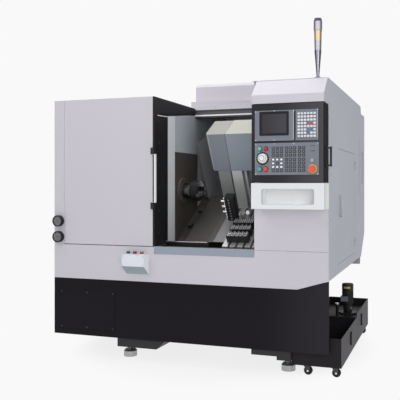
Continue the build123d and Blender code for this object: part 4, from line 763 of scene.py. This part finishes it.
# %% Ways to make a shape
def turned(profile, steps=40, ring=False):
    """A profile of (radius, height) spun round Z. A ring's profile closes on itself."""
    shape = bmesh.new()
    rows = []
    for radius, height in profile:
        count = steps if radius else 1
        rows.append([shape.verts.new((radius / 1000 * math.cos(math.tau * i / steps),
                                      radius / 1000 * math.sin(math.tau * i / steps),
                                      height / 1000)) for i in range(count)])
    for low, high in zip(rows, rows[1:] + (rows[:1] if ring else [])):
        for i in range(steps):
            corners = (low[i % len(low)], low[(i + 1) % len(low)],
                       high[(i + 1) % len(high)], high[i % len(high)])
            own = list(dict.fromkeys(corners))
            if len(own) > 2:
                shape.faces.new(own)
    return shape


def oblong(width, height, corner, steps=5):
    """The outline of a plate with round corners."""
    points = []
    for quarter, (sx, sy) in enumerate(((1, 1), (-1, 1), (-1, -1), (1, -1))):
        for i in range(steps + 1):
            angle = math.pi / 2 * (quarter + i / steps)
            points.append((sx * (width / 2 - corner) + corner * math.cos(angle),
                           sy * (height / 2 - corner) + corner * math.sin(angle)))
    return points


def slab(outline, thick, bevel=0.0):
    """Plate cut to an outline, with its outer rim bevelled."""
    shape = bmesh.new()
    face = shape.faces.new([shape.verts.new((x / 1000, y / 1000, 0)) for x, y in outline])
    lifted = bmesh.ops.extrude_face_region(shape, geom=[face])
    top = [v for v in lifted["geom"] if isinstance(v, bmesh.types.BMVert)]
    bmesh.ops.translate(shape, verts=top, vec=(0, 0, thick / 1000))
    if bevel:
        rim = [e for e in shape.edges if e.verts[0] in top and e.verts[1] in top]
        bmesh.ops.bevel(shape, geom=rim, offset=bevel / 1000, segments=2, profile=0.6, affect="EDGES")
    return shape


def window(outer, inner, thick, bevel):
    """A flat frame between two outlines with as many points, both rims chamfered."""
    shape = bmesh.new()

    def between(share):
        return [(a[0] + (b[0] - a[0]) * share, a[1] + (b[1] - a[1]) * share) for a, b in zip(outer, inner)]

    rows = [(outer, 0), (outer, thick - bevel), (between(0.2), thick), (between(0.8), thick),
            (inner, thick - bevel), (inner, 0)]
    loops = [[shape.verts.new((x / 1000, y / 1000, z / 1000)) for x, y in points] for points, z in rows]
    count = len(outer)
    for low, high in zip(loops, loops[1:] + loops[:1]):
        for i in range(count):
            j = (i + 1) % count
            shape.faces.new((low[i], low[j], high[j], high[i]))
    return shape


def lettering(text, height, thick=0.15):
    """Plain digits for a dial or a key, centred, as a mesh."""
    words = bpy.data.curves.new("digits", "FONT")
    words.body = text
    words.size = height / 1000
    words.extrude = thick / 1000
    words.align_x = "CENTER"
    words.align_y = "CENTER"
    carrier = bpy.data.objects.new("digits", words)
    mesh = bpy.data.meshes.new_from_object(carrier)
    bpy.data.objects.remove(carrier)
    bpy.data.curves.remove(words)
    return mesh


print("turning and cutting ready")

# %% [markdown]
# ## Geometry Nodes for what repeats
# Screws, key caps, ticks and ribs come in rows. A tree makes the shape once and puts it on seed points;
# each seed carries its own turn. The sizes are named inputs, so one tree serves M4 and M12 alike. The
# result is made a plain mesh, because instances would not survive an export.


# %% Seeds, trees and harvest
class Tree(Bench):
    """A Geometry Nodes tree with named sizes."""

    def __init__(self, name, **sizes):
        super().__init__(bpy.data.node_groups.new(name, "GeometryNodeTree"))
        face = self.tree.interface
        face.new_socket("Geometry", in_out="INPUT", socket_type="NodeSocketGeometry")
        face.new_socket("Geometry", in_out="OUTPUT", socket_type="NodeSocketGeometry")
        self.keys = {}
        for label, usual in sizes.items():
            kind = "NodeSocketInt" if isinstance(usual, int) else "NodeSocketFloat"
            socket = face.new_socket(label, in_out="INPUT", socket_type=kind)
            socket.default_value = usual
            self.keys[label] = socket.identifier
        self.keys["Finish"] = face.new_socket("Finish", in_out="INPUT",
                                              socket_type="NodeSocketMaterial").identifier
        self.start = self.tree.nodes.new("NodeGroupInput")

    def size(self, label):
        return Wire(self.tree, self.start.outputs[label])

    def on_seeds(self, shape):
        """Puts the shape on each seed, turned as the seed says, and ends the tree."""
        turn = self.node("GeometryNodeInputNamedAttribute", {"Name": "turn"}, data_type="FLOAT_VECTOR")
        turn = self.node("FunctionNodeEulerToRotation", {0: turn})
        spread = self.node("GeometryNodeInstanceOnPoints", {"Points": self.size("Geometry"),
                                                           "Instance": shape, "Rotation": turn})
        real = self.node("GeometryNodeRealizeInstances", {0: spread})
        dressed = self.node("GeometryNodeSetMaterial", {"Geometry": real, "Material": self.size("Finish")})
        end = self.tree.nodes.new("NodeGroupOutput")
        self.tree.links.new(dressed.socket, end.inputs[0])

    def chamfered(self, shape, rim, height, share):
        """Adds a top of that height to the faces of rim, drawn in to a share of their size."""
        raised = self.node("GeometryNodeExtrudeMesh", {"Mesh": shape, "Selection": rim,
                                                       "Offset Scale": height}, mode="FACES")
        return self.node("GeometryNodeScaleElements", {"Geometry": raised, "Selection": raised.other("Top"),
                                                       "Scale": share}, domain="FACE"), raised.other("Top")


def harvest(tree, name, stands, finish, body="machine", slot=None, **sizes):
    """Plants seeds at some stands, runs the tree and keeps the result as a plain piece."""
    seeds = bpy.data.meshes.new(name + "_seeds")
    seeds.from_pydata([tuple(m.translation) for m in stands], [], [])
    turns = seeds.attributes.new("turn", "FLOAT_VECTOR", "POINT")
    for item, place in zip(turns.data, stands):
        item.vector = place.to_euler()
    bed = bpy.data.objects.new(name + "_seeds", seeds)
    bpy.context.collection.objects.link(bed)
    grow = bed.modifiers.new("tree", "NODES")
    grow.node_group = tree.tree
    for label, value in {**sizes, "Finish": finish}.items():
        grow[tree.keys[label]] = value
    bed.update_tag()
    grown = bpy.data.meshes.new_from_object(bed.evaluated_get(bpy.context.evaluated_depsgraph_get()))
    bed.modifiers.remove(grow)
    bpy.data.objects.remove(bed)
    grown.name = name
    return keep(name, grown, finish, body)


print("seed beds ready")

# %% [markdown]
# A **screw** is a short cone with a socket sunk in it; with six sides and no socket it is a bolt head.

# %% Tree: socket screws and bolts
screws = Tree("socket screws", Radius=0.004, Height=0.003, Sides=12, Socket=0.55, Depth=0.6)
head = screws.node("GeometryNodeMeshCone", {"Vertices": screws.size("Sides"), "Depth": screws.size("Height"),
                                            "Radius Bottom": screws.size("Radius"),
                                            "Radius Top": screws.size("Radius") * 0.86}, fill_type="NGON")
rimmed, crown = screws.chamfered(head, head.other("Top"), 0.0, screws.size("Socket"))
socket_depth = screws.size("Height") * screws.size("Depth") * -1
sunk = screws.node("GeometryNodeExtrudeMesh", {"Mesh": rimmed, "Selection": crown,
                                               "Offset Scale": socket_depth}, mode="FACES")
screws.on_seeds(sunk)
print("screw tree:", len(screws.tree.nodes), "nodes")

# %% [markdown]
# A **cap** is a block whose top is drawn in: a key, a rib, a slat, a pad.

# %% Tree: chamfered caps
caps = Tree("chamfered caps", Wide=0.01, Long=0.01, High=0.002, Share=0.85)
brick = caps.node("GeometryNodeMeshCube", {"Size": caps.node("ShaderNodeCombineXYZ", {
    0: caps.size("Wide"), 1: caps.size("Long"), 2: caps.size("High") * 0.6})})
brick = caps.node("GeometryNodeTransform", {"Geometry": brick, "Translation": caps.node(
    "ShaderNodeCombineXYZ", {2: caps.size("High") * 0.3})})
upward = caps.node("ShaderNodeSeparateXYZ", {0: caps.node("GeometryNodeInputNormal")}, output="Z")
topped, _ = caps.chamfered(brick, upward > 0.5, caps.size("High") * 0.4, caps.size("Share"))
caps.on_seeds(topped)
print("cap tree:", len(caps.tree.nodes), "nodes")

# %% [markdown]
# **Marks** stand round a circle: the ticks of a dial, the fins of a motor, the grip of a knob. Their
# number and their sweep are inputs, and each mark turns with its own angle.

# %% Tree: marks round a circle
marks = Tree("marks round a circle", Count=12, Radius=0.02, Start=0.0, Sweep=6.28, Wide=0.001,
             Long=0.003, High=0.0004)
index = marks.node("GeometryNodeInputIndex")
angle = marks.size("Start") + index * marks.size("Sweep") / (marks.size("Count") - 1.0)
ring_spot = marks.node("ShaderNodeCombineXYZ", {
    0: marks.node("ShaderNodeMath", {0: angle}, operation="COSINE") * marks.size("Radius"),
    1: marks.node("ShaderNodeMath", {0: angle}, operation="SINE") * marks.size("Radius")})
dots = marks.node("GeometryNodePoints", {"Count": marks.size("Count"), "Position": ring_spot})
mark = marks.node("GeometryNodeMeshCube", {"Size": marks.node("ShaderNodeCombineXYZ", {
    0: marks.size("Long"), 1: marks.size("Wide"), 2: marks.size("High")})})
mark = marks.node("GeometryNodeTransform", {"Geometry": mark, "Translation": marks.node(
    "ShaderNodeCombineXYZ", {2: marks.size("High") * 0.5})})
turn = marks.node("FunctionNodeEulerToRotation", {0: marks.node("ShaderNodeCombineXYZ", {2: angle})})
circle = marks.node("GeometryNodeInstanceOnPoints", {"Points": dots, "Instance": mark, "Rotation": turn})
marks.on_seeds(marks.node("GeometryNodeRealizeInstances", {0: circle}))
print("mark tree:", len(marks.tree.nodes), "nodes")

# %% [markdown]
# ## Black jamb inside the door
# Where the door shuts, the chamber's left wall carries a black seal plate as tall as the opening. From
# the front it reads as the door's own shadow line. It is one plate, cut round the lip of the chute, and
# the chute has a bright folded lip of its own along its front edge.

# %% Jamb, its screws and the chute's lip
jamb_outline = [(0, 2), (116, 2), (116, 24), (144, 24), (144, 818), (0, 812)]
keep("door_jamb_plate", slab(jamb_outline, 3, 0.8), frame_black,
     place=stand(at(-186, 48, 718), SIDE))
jamb_screws = [stand(at(-183, 60, z), SIDE) for z in range(800, 1501, 140)]
harvest(screws, "door_jamb_screws", jamb_screws, dark_screw, slot="machined_steel", Radius=0.005,
        Height=0.003)
keep("chute_lip", slab(oblong(284, 5, 1), 1.4, 0.5), tip_steel,
     place=stand(at(-44, 170, 738.5), FRONT))
print("jamb plate and", len(jamb_screws), "screws")

# %% [markdown]
# ## Screws that hold the sheet metal
# Small socket screws hold the inspection panel, the switch box, the side panel with its door, the cabinet's
# ledge and the guide rail. Each list of places goes through the screw tree in one go, with its own size.

# %% Panel screws
# name of the row, its places, finish, radius and height
screw_rows = (
    ("inspection_panel_screws", [stand(at(x, -3, z), FRONT) for x in (-841, -656, -471) for z in (192, 414)],
     dark_screw, 0.0055, 0.003),
    ("switch_box_screws", [stand(at(x, -65, z), FRONT) for x in (-366, -230) for z in (608, 663)],
     plated, 0.0028, 0.0014),
    ("side_panel_screws", [stand(at(900, y, z), SIDE) for y in (60, 1270) for z in (640, 900, 1160, 1420)]
     + [stand(at(904, y, z), SIDE) for y in (1350, 1440) for z in (1120, 1349)], plated, 0.0045, 0.0024),
    ("cabinet_ledge_screws", [stand(at(x, 1505, 1645), TOP, BACK) for x in (-840, -280, 280, 836)],
     plated, 0.005, 0.0026),
    ("guide_rail_screws", [stand(at(x, 652, 1655), FRONT) for x in range(-150, 451, 120)],
     plated, 0.004, 0.002),
)
for name, places, finish, radius, height in screw_rows:
    harvest(screws, name, places, finish, slot="machined_steel", Radius=radius, Height=height)
print("panel screws:", sum(len(row[1]) for row in screw_rows))

# %% [markdown]
# ## Two gauges by the door
# Each gauge is a dial in a black case: a plate with ticks and digits, a needle on a hub, a rolled bezel
# and a domed glass. The ticks are marks round a circle, long ones over short ones; the digits are plain
# type made into a mesh. The case is a solid already.

# %% Gauges
GAUGE_X, DIAL_Y = -863, -22
DIGIT_CIRCLE, DIAL_THICK = 0.0155, 0.0009
tick_stands, digit_meshes = [], []
for name, gauge_z, lean in (("upper", 868, 38), ("lower", 766, 62)):
    face = stand(at(GAUGE_X, DIAL_Y, gauge_z), FRONT)
    keep(name + "_gauge_dial", turned([(0, 0), (28.8, 0), (28.6, 0.8), (0, 0.8)]), dial_grey,
         place=face)
    tick_stands.append(face @ Matrix.Translation((0, 0, 0.0008)))
    for step in range(6):
        spot = math.radians(225 - 54 * step)
        digits = lettering(str(step * 2), 6)
        digits.transform(face @ Matrix.Translation((DIGIT_CIRCLE * math.cos(spot),
                                                    DIGIT_CIRCLE * math.sin(spot), DIAL_THICK)))
        digit_meshes.append(digits)
    needle = joined(slab([(-2.6, -10), (2.6, -10), (0.7, 21), (-0.7, 21)], 0.5),
                    turned([(0, 0), (3.4, 0), (3.2, 1.4), (0, 1.6)], 20))
    keep(name + "_gauge_needle", needle, ink,
         place=face @ Matrix.Translation((0, 0, DIAL_THICK)) @ Matrix.Rotation(math.radians(lean), 4, "Z"))
    bezel = turned([(29, 0), (35.6, 0), (35.2, 1.2), (33, 2.0), (30.2, 1.4)], 48, True)
    keep(name + "_gauge_bezel", bezel, black_plastic,
         place=stand(at(GAUGE_X, DIAL_Y - 4, gauge_z), FRONT))
    dome = turned([(0, 0), (29.4, 0), (29.4, 0.5), (24, 1.5), (12, 2.2), (0, 2.4)], 48)
    keep(name + "_gauge_glass", dome, clear.material,
         place=stand(at(GAUGE_X, DIAL_Y - 2.6, gauge_z), FRONT))
for kind, sizes in (("fine", dict(Count=41, Radius=0.0245, Wide=0.0004, Long=0.002, High=0.0002)),
                    ("main", dict(Count=11, Radius=0.0235, Wide=0.0009, Long=0.004, High=0.0003))):
    harvest(marks, "gauge_" + kind + "_ticks", tick_stands, ink, slot="gauge_black",
            Start=math.radians(-45), Sweep=math.radians(270), **sizes)
merged("gauge_digits", digit_meshes, ink)

# %% [markdown]
# ## Console: screen, key fields and dials
# The control stands out by its order: a black bezel round the screen, a bright strip where two panels
# meet, forty-eight pale keys above and fifty-six dark ones below with a white group among them. The
# solids give every key its place; a cap with drawn-in sides goes on each. One tree makes them all.

# %% Screen bezel and strips
PLATE_Y, RAISED_Y, KEY_Y = -143, -145, -147
keep("screen_bezel", window(oblong(168, 133, 4), oblong(144, 109, 2), 2.4, 0.9), frame_black, "console",
     stand(at(619.5, -144.6, 1439), FRONT))
# name, outline, thickness, rim, finish, slot and place
strips = (
    ("screen_panel_strip", oblong(4.5, 158, 1.5), 1.6, 0.5, plated, "machined_steel", (729.5, PLATE_Y, 1428)),
    ("panel_gap_strip", oblong(8, 166, 1), 0.6, 0, frame_black, "console_black", (737.5, PLATE_Y, 1427.5)),
    ("key_field_strip", oblong(4, 146, 1.5), 1.4, 0.5, plated, "machined_steel", (863, RAISED_Y, 1427.5)),
    ("screen_panel_edge", oblong(5, 158, 1.5), 1.2, 0.4, panel_grey, "panel_plastic", (514, PLATE_Y, 1428)),
)
for name, outline, thick, rim, finish, slot, spot in strips:
    keep(name, slab(outline, thick, rim), finish, "console", stand(at(*spot), FRONT))
print("screen dressed, with", len(strips), "strips")

# %% Key caps
KEY_PITCH = 17.7
LARGE_CAP, SMALL_CAP, DARK_CAP = (0.0125, 0.0105), (0.0085, 0.0070), (0.0110, 0.0085)
upper_keys = {(c, r): at(804.5 + (c - 2.5) * KEY_PITCH, KEY_Y, 1427.5 + (r - 3.5) * KEY_PITCH)
              for c in range(6) for r in range(8)}
red_keys = {(3, 4), (4, 4)}
blue_keys = {(3, 2), (3, 1), (4, 2)}
small_keys = {(c, 7) for c in range(6)} | {(c, 0) for c in range(3)}
lower_columns = (615, 638.5, 662, 691, 713.5, 736, 764, 787)
lower_rows = (1302, 1282, 1262, 1239, 1218.5, 1198, 1178)
lower_keys = {(c, r): at(x, RAISED_Y, z)
              for c, x in enumerate(lower_columns) for r, z in enumerate(lower_rows)}
white_group = {(c, r) for c in (0, 1, 2) for r in (3, 4, 5)} - {(1, 4)}
dark_group = [k for k in lower_keys if k not in white_group]
# name, keys, finish, width and length, height and the top's share
cap_sets = (
    ("white", upper_keys, sorted(set(upper_keys) - red_keys - blue_keys - small_keys), key_white, LARGE_CAP,
     0.0013, 0.84),
    ("red", upper_keys, sorted(red_keys), key_red, LARGE_CAP, 0.0013, 0.84),
    ("blue", upper_keys, sorted(blue_keys), key_blue, LARGE_CAP, 0.0013, 0.84),
    ("small", upper_keys, sorted(small_keys), key_white, SMALL_CAP, 0.0013, 0.84),
    ("dark", lower_keys, dark_group, key_grey, DARK_CAP, 0.0012, 0.8),
    ("light", lower_keys, [k for k in lower_keys if k in white_group], key_white, LARGE_CAP, 0.0012, 0.84),
)
for label, field, chosen, finish, (wide, long), high, share in cap_sets:
    harvest(caps, label + "_key_caps", [stand(field[k], FRONT) for k in chosen], finish, "console",
            "key_plastic", Wide=wide, Long=long, High=high, Share=share)
print("key caps:", {row[0]: len(row[2]) for row in cap_sets})

# %% [markdown]
# The legends are plain digits and signs, as on any keypad. Dark type goes on the pale upper caps, pale
# type on the dark lower ones, and both stand a hair proud of the cap.

# %% Key legends
def legend(text, height, spot, proud):
    """Plain type on a key, just above its cap."""
    sign = lettering(text, height)
    sign.transform(stand(spot, FRONT) @ Matrix.Translation((0, 0, proud)))
    return sign


signs = "789+-456*/123=<0.,()>#%&"
large_keys = [k for k in sorted(upper_keys, key=lambda k: (-k[1], k[0])) if k not in small_keys]
merged("upper_key_legends", [legend(signs[i % len(signs)], 7, upper_keys[key], 0.00132)
                             for i, key in enumerate(large_keys)], ink, "console")
by_rows = sorted(lower_keys, key=lambda key: (key[1], key[0]))
merged("lower_key_legends", [legend(str(i % 10), 5.5, lower_keys[key], 0.00122)
                             for i, key in enumerate(by_rows) if key not in white_group],
       pale_ink, "console")
print("legends:", len(large_keys), "upper,", len(dark_group), "lower")

# %% [markdown]
# ## Rings round the dial and the buttons
# The override dial turns in a black ring with white ticks, and numbers from 0 to 150 stand round it. The
# stop mushroom stands on a yellow disc, and the small buttons sit in thin bezels. All are turned rings.

# %% Dial ring, ticks and numbers
DIAL = (554, 1246)
NUMBER_CIRCLE = 0.0415
dial_face = stand(at(DIAL[0], RAISED_Y, DIAL[1]), FRONT)
keep("override_dial_ring", turned([(27.8, 0), (36.2, 0), (35.8, 1.1), (28.4, 1.3)], 64, True), black_plastic,
     "console", dial_face)
harvest(marks, "override_dial_ticks", [dial_face @ Matrix.Translation((0, 0, 0.0012))], pale_ink, "console",
        "panel_plastic", Count=16, Radius=0.0318, Start=math.radians(-60), Sweep=math.radians(300),
        Wide=0.0008, Long=0.0040, High=0.0003)
numbers = []
for step in range(6):
    spot = math.radians(240 - 60 * step)
    number = lettering(str(step * 30), 5.5)
    number.transform(stand(at(DIAL[0], PLATE_Y, DIAL[1]), FRONT) @ Matrix.Translation(
        (NUMBER_CIRCLE * math.cos(spot), NUMBER_CIRCLE * math.sin(spot), 0)))
    numbers.append(number)
merged("override_dial_numbers", numbers, pale_ink, "console")
print("dial numbers:", len(numbers))

# %% Button rings, panel screws and windows
keep("stop_yellow_disc", turned([(19.7, 0), (24.9, 0), (24.5, 1.6), (19.9, 1.8)], 56, True), yellow_plastic,
     "console", stand(at(836, RAISED_Y, 1187), FRONT))
keep("key_switch_ring", turned([(7.3, 0), (10.2, 0), (9.8, 1.2), (7.7, 1.4)], 36, True), plated, "console",
     stand(at(835, RAISED_Y, 1232), FRONT))
button_rings = (("start", 537, 1187, 13.2), ("stop", 571, 1187, 13.2),
                ("power_on", 538, 1300, 10.7), ("power_off", 573, 1300, 10.7))
for label, x, z, inside in button_rings:
    bezel = turned([(inside, 0), (inside + 2.6, 0), (inside + 2.2, 1.4), (inside + 0.5, 1.6)], 40, True)
    keep(label + "_bezel", bezel, black_plastic, "console", stand(at(x, PLATE_Y, z), FRONT))
panel_fixings = [(513.5, 1506), (620, 1508), (733, 1508), (864, 1508), (513.5, 1348), (620, 1348),
                 (513.5, 1326), (620, 1326), (730, 1326), (865, 1326), (513.5, 1159), (865, 1159)]
harvest(screws, "console_panel_screws", [stand(at(x, PLATE_Y, z), FRONT) for x, z in panel_fixings],
        tip_steel, "console", "machined_steel", Radius=0.0032, Height=0.0014, Socket=0.5)
for label, z in (("upper", 1312), ("lower", 1284)):
    keep(label + "_signal_window", slab(oblong(26, 7, 2), 0.8, 0.3), key_grey, "console",
         stand(at(838, PLATE_Y, z), FRONT))
print("rings and bezels:", 2 + len(button_rings), "panel screws:", len(panel_fixings))

# %% [markdown]
# ## Tower lamp
# The lamp stands on a rubber foot, has a chromed taper, and rings between its sections. The rings are
# turned and slip over the solid lens.

# %% Lamp rings
lamp_spot = at(838, -5, 0)
for label, z, radius, finish in (("foot", 1700.5, 20.3, black_plastic), ("joint", 1854, 19.6, black_plastic),
                                 ("cap_joint", 1969, 24.3, plated)):
    band = turned([(radius - 2, 0), (radius + 0.2, 0), (radius + 0.2, 2.6), (radius - 2, 2.6)], 48, True)
    keep("lamp_" + label + "_ring", band, finish,
         place=Matrix.Translation(lamp_spot + Vector((0, 0, z / 1000))))
print("lamp rings at", [round(v, 3) for v in lamp_spot])

# %% [markdown]
# ## Chuck
# Each jaw is held by two cap screws, and the chuck's face has shallow turned grooves that catch the
# light as rings. Grooves that fine are better as thin rings than as cuts in the solid.

# %% Chuck details
SPINDLE = (430, 1061.8)
JAW_STEPS = ((59, -41), (40, -27))
jaw_screws = []
for jaw in range(3):
    way = math.radians(90 + 120 * jaw)
    for reach, x in JAW_STEPS:
        spot = at(x, SPINDLE[0] + reach * math.cos(way), SPINDLE[1] + reach * math.sin(way))
        jaw_screws.append(stand(spot, SIDE))
harvest(screws, "jaw_screws", jaw_screws, spindle_steel, "spindle_rotor", "chuck_steel", Radius=0.0062,
        Height=0.0005, Sides=20, Socket=0.6)
chuck_face = stand(at(-55, *SPINDLE), SIDE)
for label, inside in (("inner", 30), ("outer", 61)):
    groove = turned([(inside, -0.5), (inside + 1.6, -0.5), (inside + 1.5, 0.3), (inside + 0.1, 0.3)],
                    72, True)
    keep("chuck_" + label + "_groove", groove, spindle_steel, "spindle_rotor", chuck_face)
print("chuck face at", [round(v, 3) for v in chuck_face.translation])

# %% [markdown]
# ## Tool rows
# The rows of tools are what the machine is for. Each clamp is pressed down by two socket screws, each
# shank carries a bright insert at its cutting end, and the standing block's bars are locked by a
# column of grub screws. All sit square to the 30 degree slope.

# %% Tool screws and inserts
TOOL_PITCH, ROW_PITCH, SHANK_TOP, CLAMP_THICK = 25.5, 73, 45, 5
rows = [(279 + TOOL_PITCH * tool, 3 + ROW_PITCH * row) for row in range(3) for tool in range(5)]
clamp_screws = [stand(on_slope(x, s + along, SHANK_TOP + CLAMP_THICK), OFF_SLOPE, UP_SLOPE)
                for x, s in rows for along in (11, 31)]
insert_stands = [stand(on_slope(x, s + 51, SHANK_TOP), OFF_SLOPE, UP_SLOPE) for x, s in rows]
harvest(screws, "clamp_screws", clamp_screws, dark_screw, "tool_slide", "tool_black", Radius=0.0045,
        Height=0.0040, Socket=0.5)
harvest(caps, "tool_inserts", insert_stands, jaw_steel, "tool_slide", "bar_steel", Wide=0.009, Long=0.009,
        High=0.0030, Share=0.9)
print("tool screws:", len(clamp_screws), "inserts:", len(insert_stands))

# %% Standing block
bar_heights = [16 + 19.6 * bar for bar in range(8)]
LONG_BARS = (2, 4, 6)
grub_stands = [stand(on_slope(222, 242, n), -UP_SLOPE, OFF_SLOPE) for n in bar_heights]
harvest(screws, "standing_block_screws", grub_stands, plated, "tool_slide", "tool_black", Radius=0.005,
        Height=0.003, Socket=0.5)
collar_stands = [stand(on_slope(196 - (30 if bar in LONG_BARS else 12), 262, n), LEFTWARD)
                 @ Matrix.Translation((0, 0, -0.008)) for bar, n in enumerate(bar_heights)]
harvest(screws, "bar_collars", collar_stands, tip_steel, "tool_slide", "bar_steel", Radius=0.0078,
        Height=0.0045, Sides=24, Socket=0.6)
print("bars in the standing block:", len(bar_heights))

# %% [markdown]
# ## Pump on the coolant tank
# The pump's motor is ribbed for cooling and has a terminal box with a lid. Ribs are marks round a circle,
# as tall as the motor. A bare yellow plate is bent round the cowl. Coolant is topped up through a pipe
# with a bright cap, and a nut on each side of the swivelling casters holds the front axles.

# %% Pump ribs and terminal box
pump = at(866, 900, 0)
BOX_X, BOX_Z = 852.5, 311.5
harvest(marks, "pump_ribs", [Matrix.Translation(pump + Vector((0, 0, 0.272)))], motor_grey, "tank",
        "motor_paint", Count=30, Radius=0.0375, Start=0.0, Sweep=math.tau * 29 / 30, Wide=0.0016, Long=0.004,
        High=0.090)
keep("pump_box_lid", slab(oblong(49, 35, 3), 2.4, 1.0), panel_grey, "tank",
     stand(at(BOX_X, 832, BOX_Z), FRONT))
lid_screws = [stand(at(BOX_X + dx, 829.6, BOX_Z + dz), FRONT) for dx in (-20, 20) for dz in (-13.5, 13.5)]
harvest(screws, "pump_lid_screws", lid_screws, plated, "tank", "machined_steel", Radius=0.002, Height=0.0012)
print("ribs and", len(lid_screws), "lid screws")

# %% Yellow plate round the cowl
plate = bmesh.new()
bend = [math.radians(a) for a in range(-124, -55, 4)]
sheets = [[plate.verts.new((r * math.cos(a), r * math.sin(a), z)) for a in bend]
          for r, z in ((0.0402, 0.379), (0.0410, 0.379), (0.0410, 0.393), (0.0402, 0.393))]
for low, high in zip(sheets, sheets[1:] + sheets[:1]):
    for i in range(len(bend) - 1):
        plate.faces.new((low[i], low[i + 1], high[i + 1], high[i]))
for end in (0, -1):
    plate.faces.new([row[end] for row in sheets])
keep("pump_plate", plate, plate_yellow, "tank", Matrix.Translation(pump))
print("plate bent in", len(bend) - 1, "steps")

# %% Filler and axle nuts
keep("tank_filler_pipe", turned([(0, 0), (19, 0), (19, 3), (10, 3), (10, 66), (0, 66)], 32), black_plastic,
     "tank", Matrix.Translation(at(800, 850, 200)))
keep("tank_filler_cap", turned([(0, 0), (15, 0), (15, 8), (13, 12), (0, 12.6)], 32), tip_steel, "tank",
     Matrix.Translation(at(800, 850, 266)))
for side, x in (("left", 765.3), ("right", 930)):
    nuts = [stand(at(x, 59, 25), FRONT), stand(at(x, 91, 25), BACK)]
    harvest(screws, "caster_axle_nuts_" + side, nuts, tip_steel, "fork_" + side, "fork_steel", Radius=0.0065,
            Height=0.0030, Socket=0.4)
print("filler and axle nuts done")

# %% [markdown]
# ## Feet
# The levelling studs are threaded. The thread is a close stack of turned ridges round each stud, which
# costs little and reads as a thread from any side.

# %% Threads on the feet
THREAD_LOW, THREAD_PITCH, TURNS = 45.6, 2.6, 9
ridges = [(15.4, THREAD_LOW - 1)]
for ridge in range(TURNS):
    ridges += [(17.3, THREAD_LOW + THREAD_PITCH * ridge), (16.2, THREAD_LOW + THREAD_PITCH * (ridge + 0.5))]
ridges.append((15.4, 68.6))
feet = (("front_left", -418, 130), ("front_right", 633, 130), ("rear_left", -418, 1170),
        ("rear_right", 633, 1170))
for label, x, y in feet:
    keep("foot_thread_" + label, turned(ridges, 32, True), plated,
         place=Matrix.Translation(at(x, y, 0)))
print("threads:", len(feet), "with", TURNS, "ridges each")

# %% [markdown]
# ## The floor
# The picture's background is plain paper. Far from the machine the floor is simply that white, to the
# camera and in reflections. Near it, a share of the white is real paper that takes the machine's shadow.

# %% Paper floor
HALF, SUNK = 30, 0.001
NEAR, FAR = 0.82, 1.12
WHITE_NEAR = 0.87
floor_mesh = bpy.data.meshes.new("floor")
floor_mesh.from_pydata([(-HALF, -HALF, 0), (HALF, -HALF, 0), (HALF, HALF, 0), (-HALF, HALF, 0)], [],
                       [(0, 1, 2, 3)])
floor = bpy.data.objects.new("floor", floor_mesh)
bpy.context.collection.objects.link(floor)
floor.location.z = -SUNK
ground = Finish("paper floor", (0.93, 0.93, 0.93), 0.9, Specular_IOR_Level=0.0)
looks = ground.node("ShaderNodeLightPath", output="Is Camera Ray")
looks = looks.math("MAXIMUM", looks, looks.other("Is Glossy Ray"))
looks = looks.math("MAXIMUM", looks, ground.node("ShaderNodeLightPath", output="Is Transmission Ray"))
away = ground.node("ShaderNodeVectorMath", {0: ground.place()}, output="Value", operation="LENGTH")
share = looks * (ground.between(away, NEAR, FAR) * (1 - WHITE_NEAR) + WHITE_NEAR)
white = ground.node("ShaderNodeEmission", {"Color": PAPER, "Strength": 1.0})
real = Wire(ground.tree, ground.shader.outputs[0])
blend = ground.node("ShaderNodeMixShader", {0: share, 1: real, 2: white})
ground.tree.links.new(blend.socket, ground.tree.nodes["Material Output"].inputs["Surface"])
floor_mesh.materials.append(ground.material)
print("floor laid")
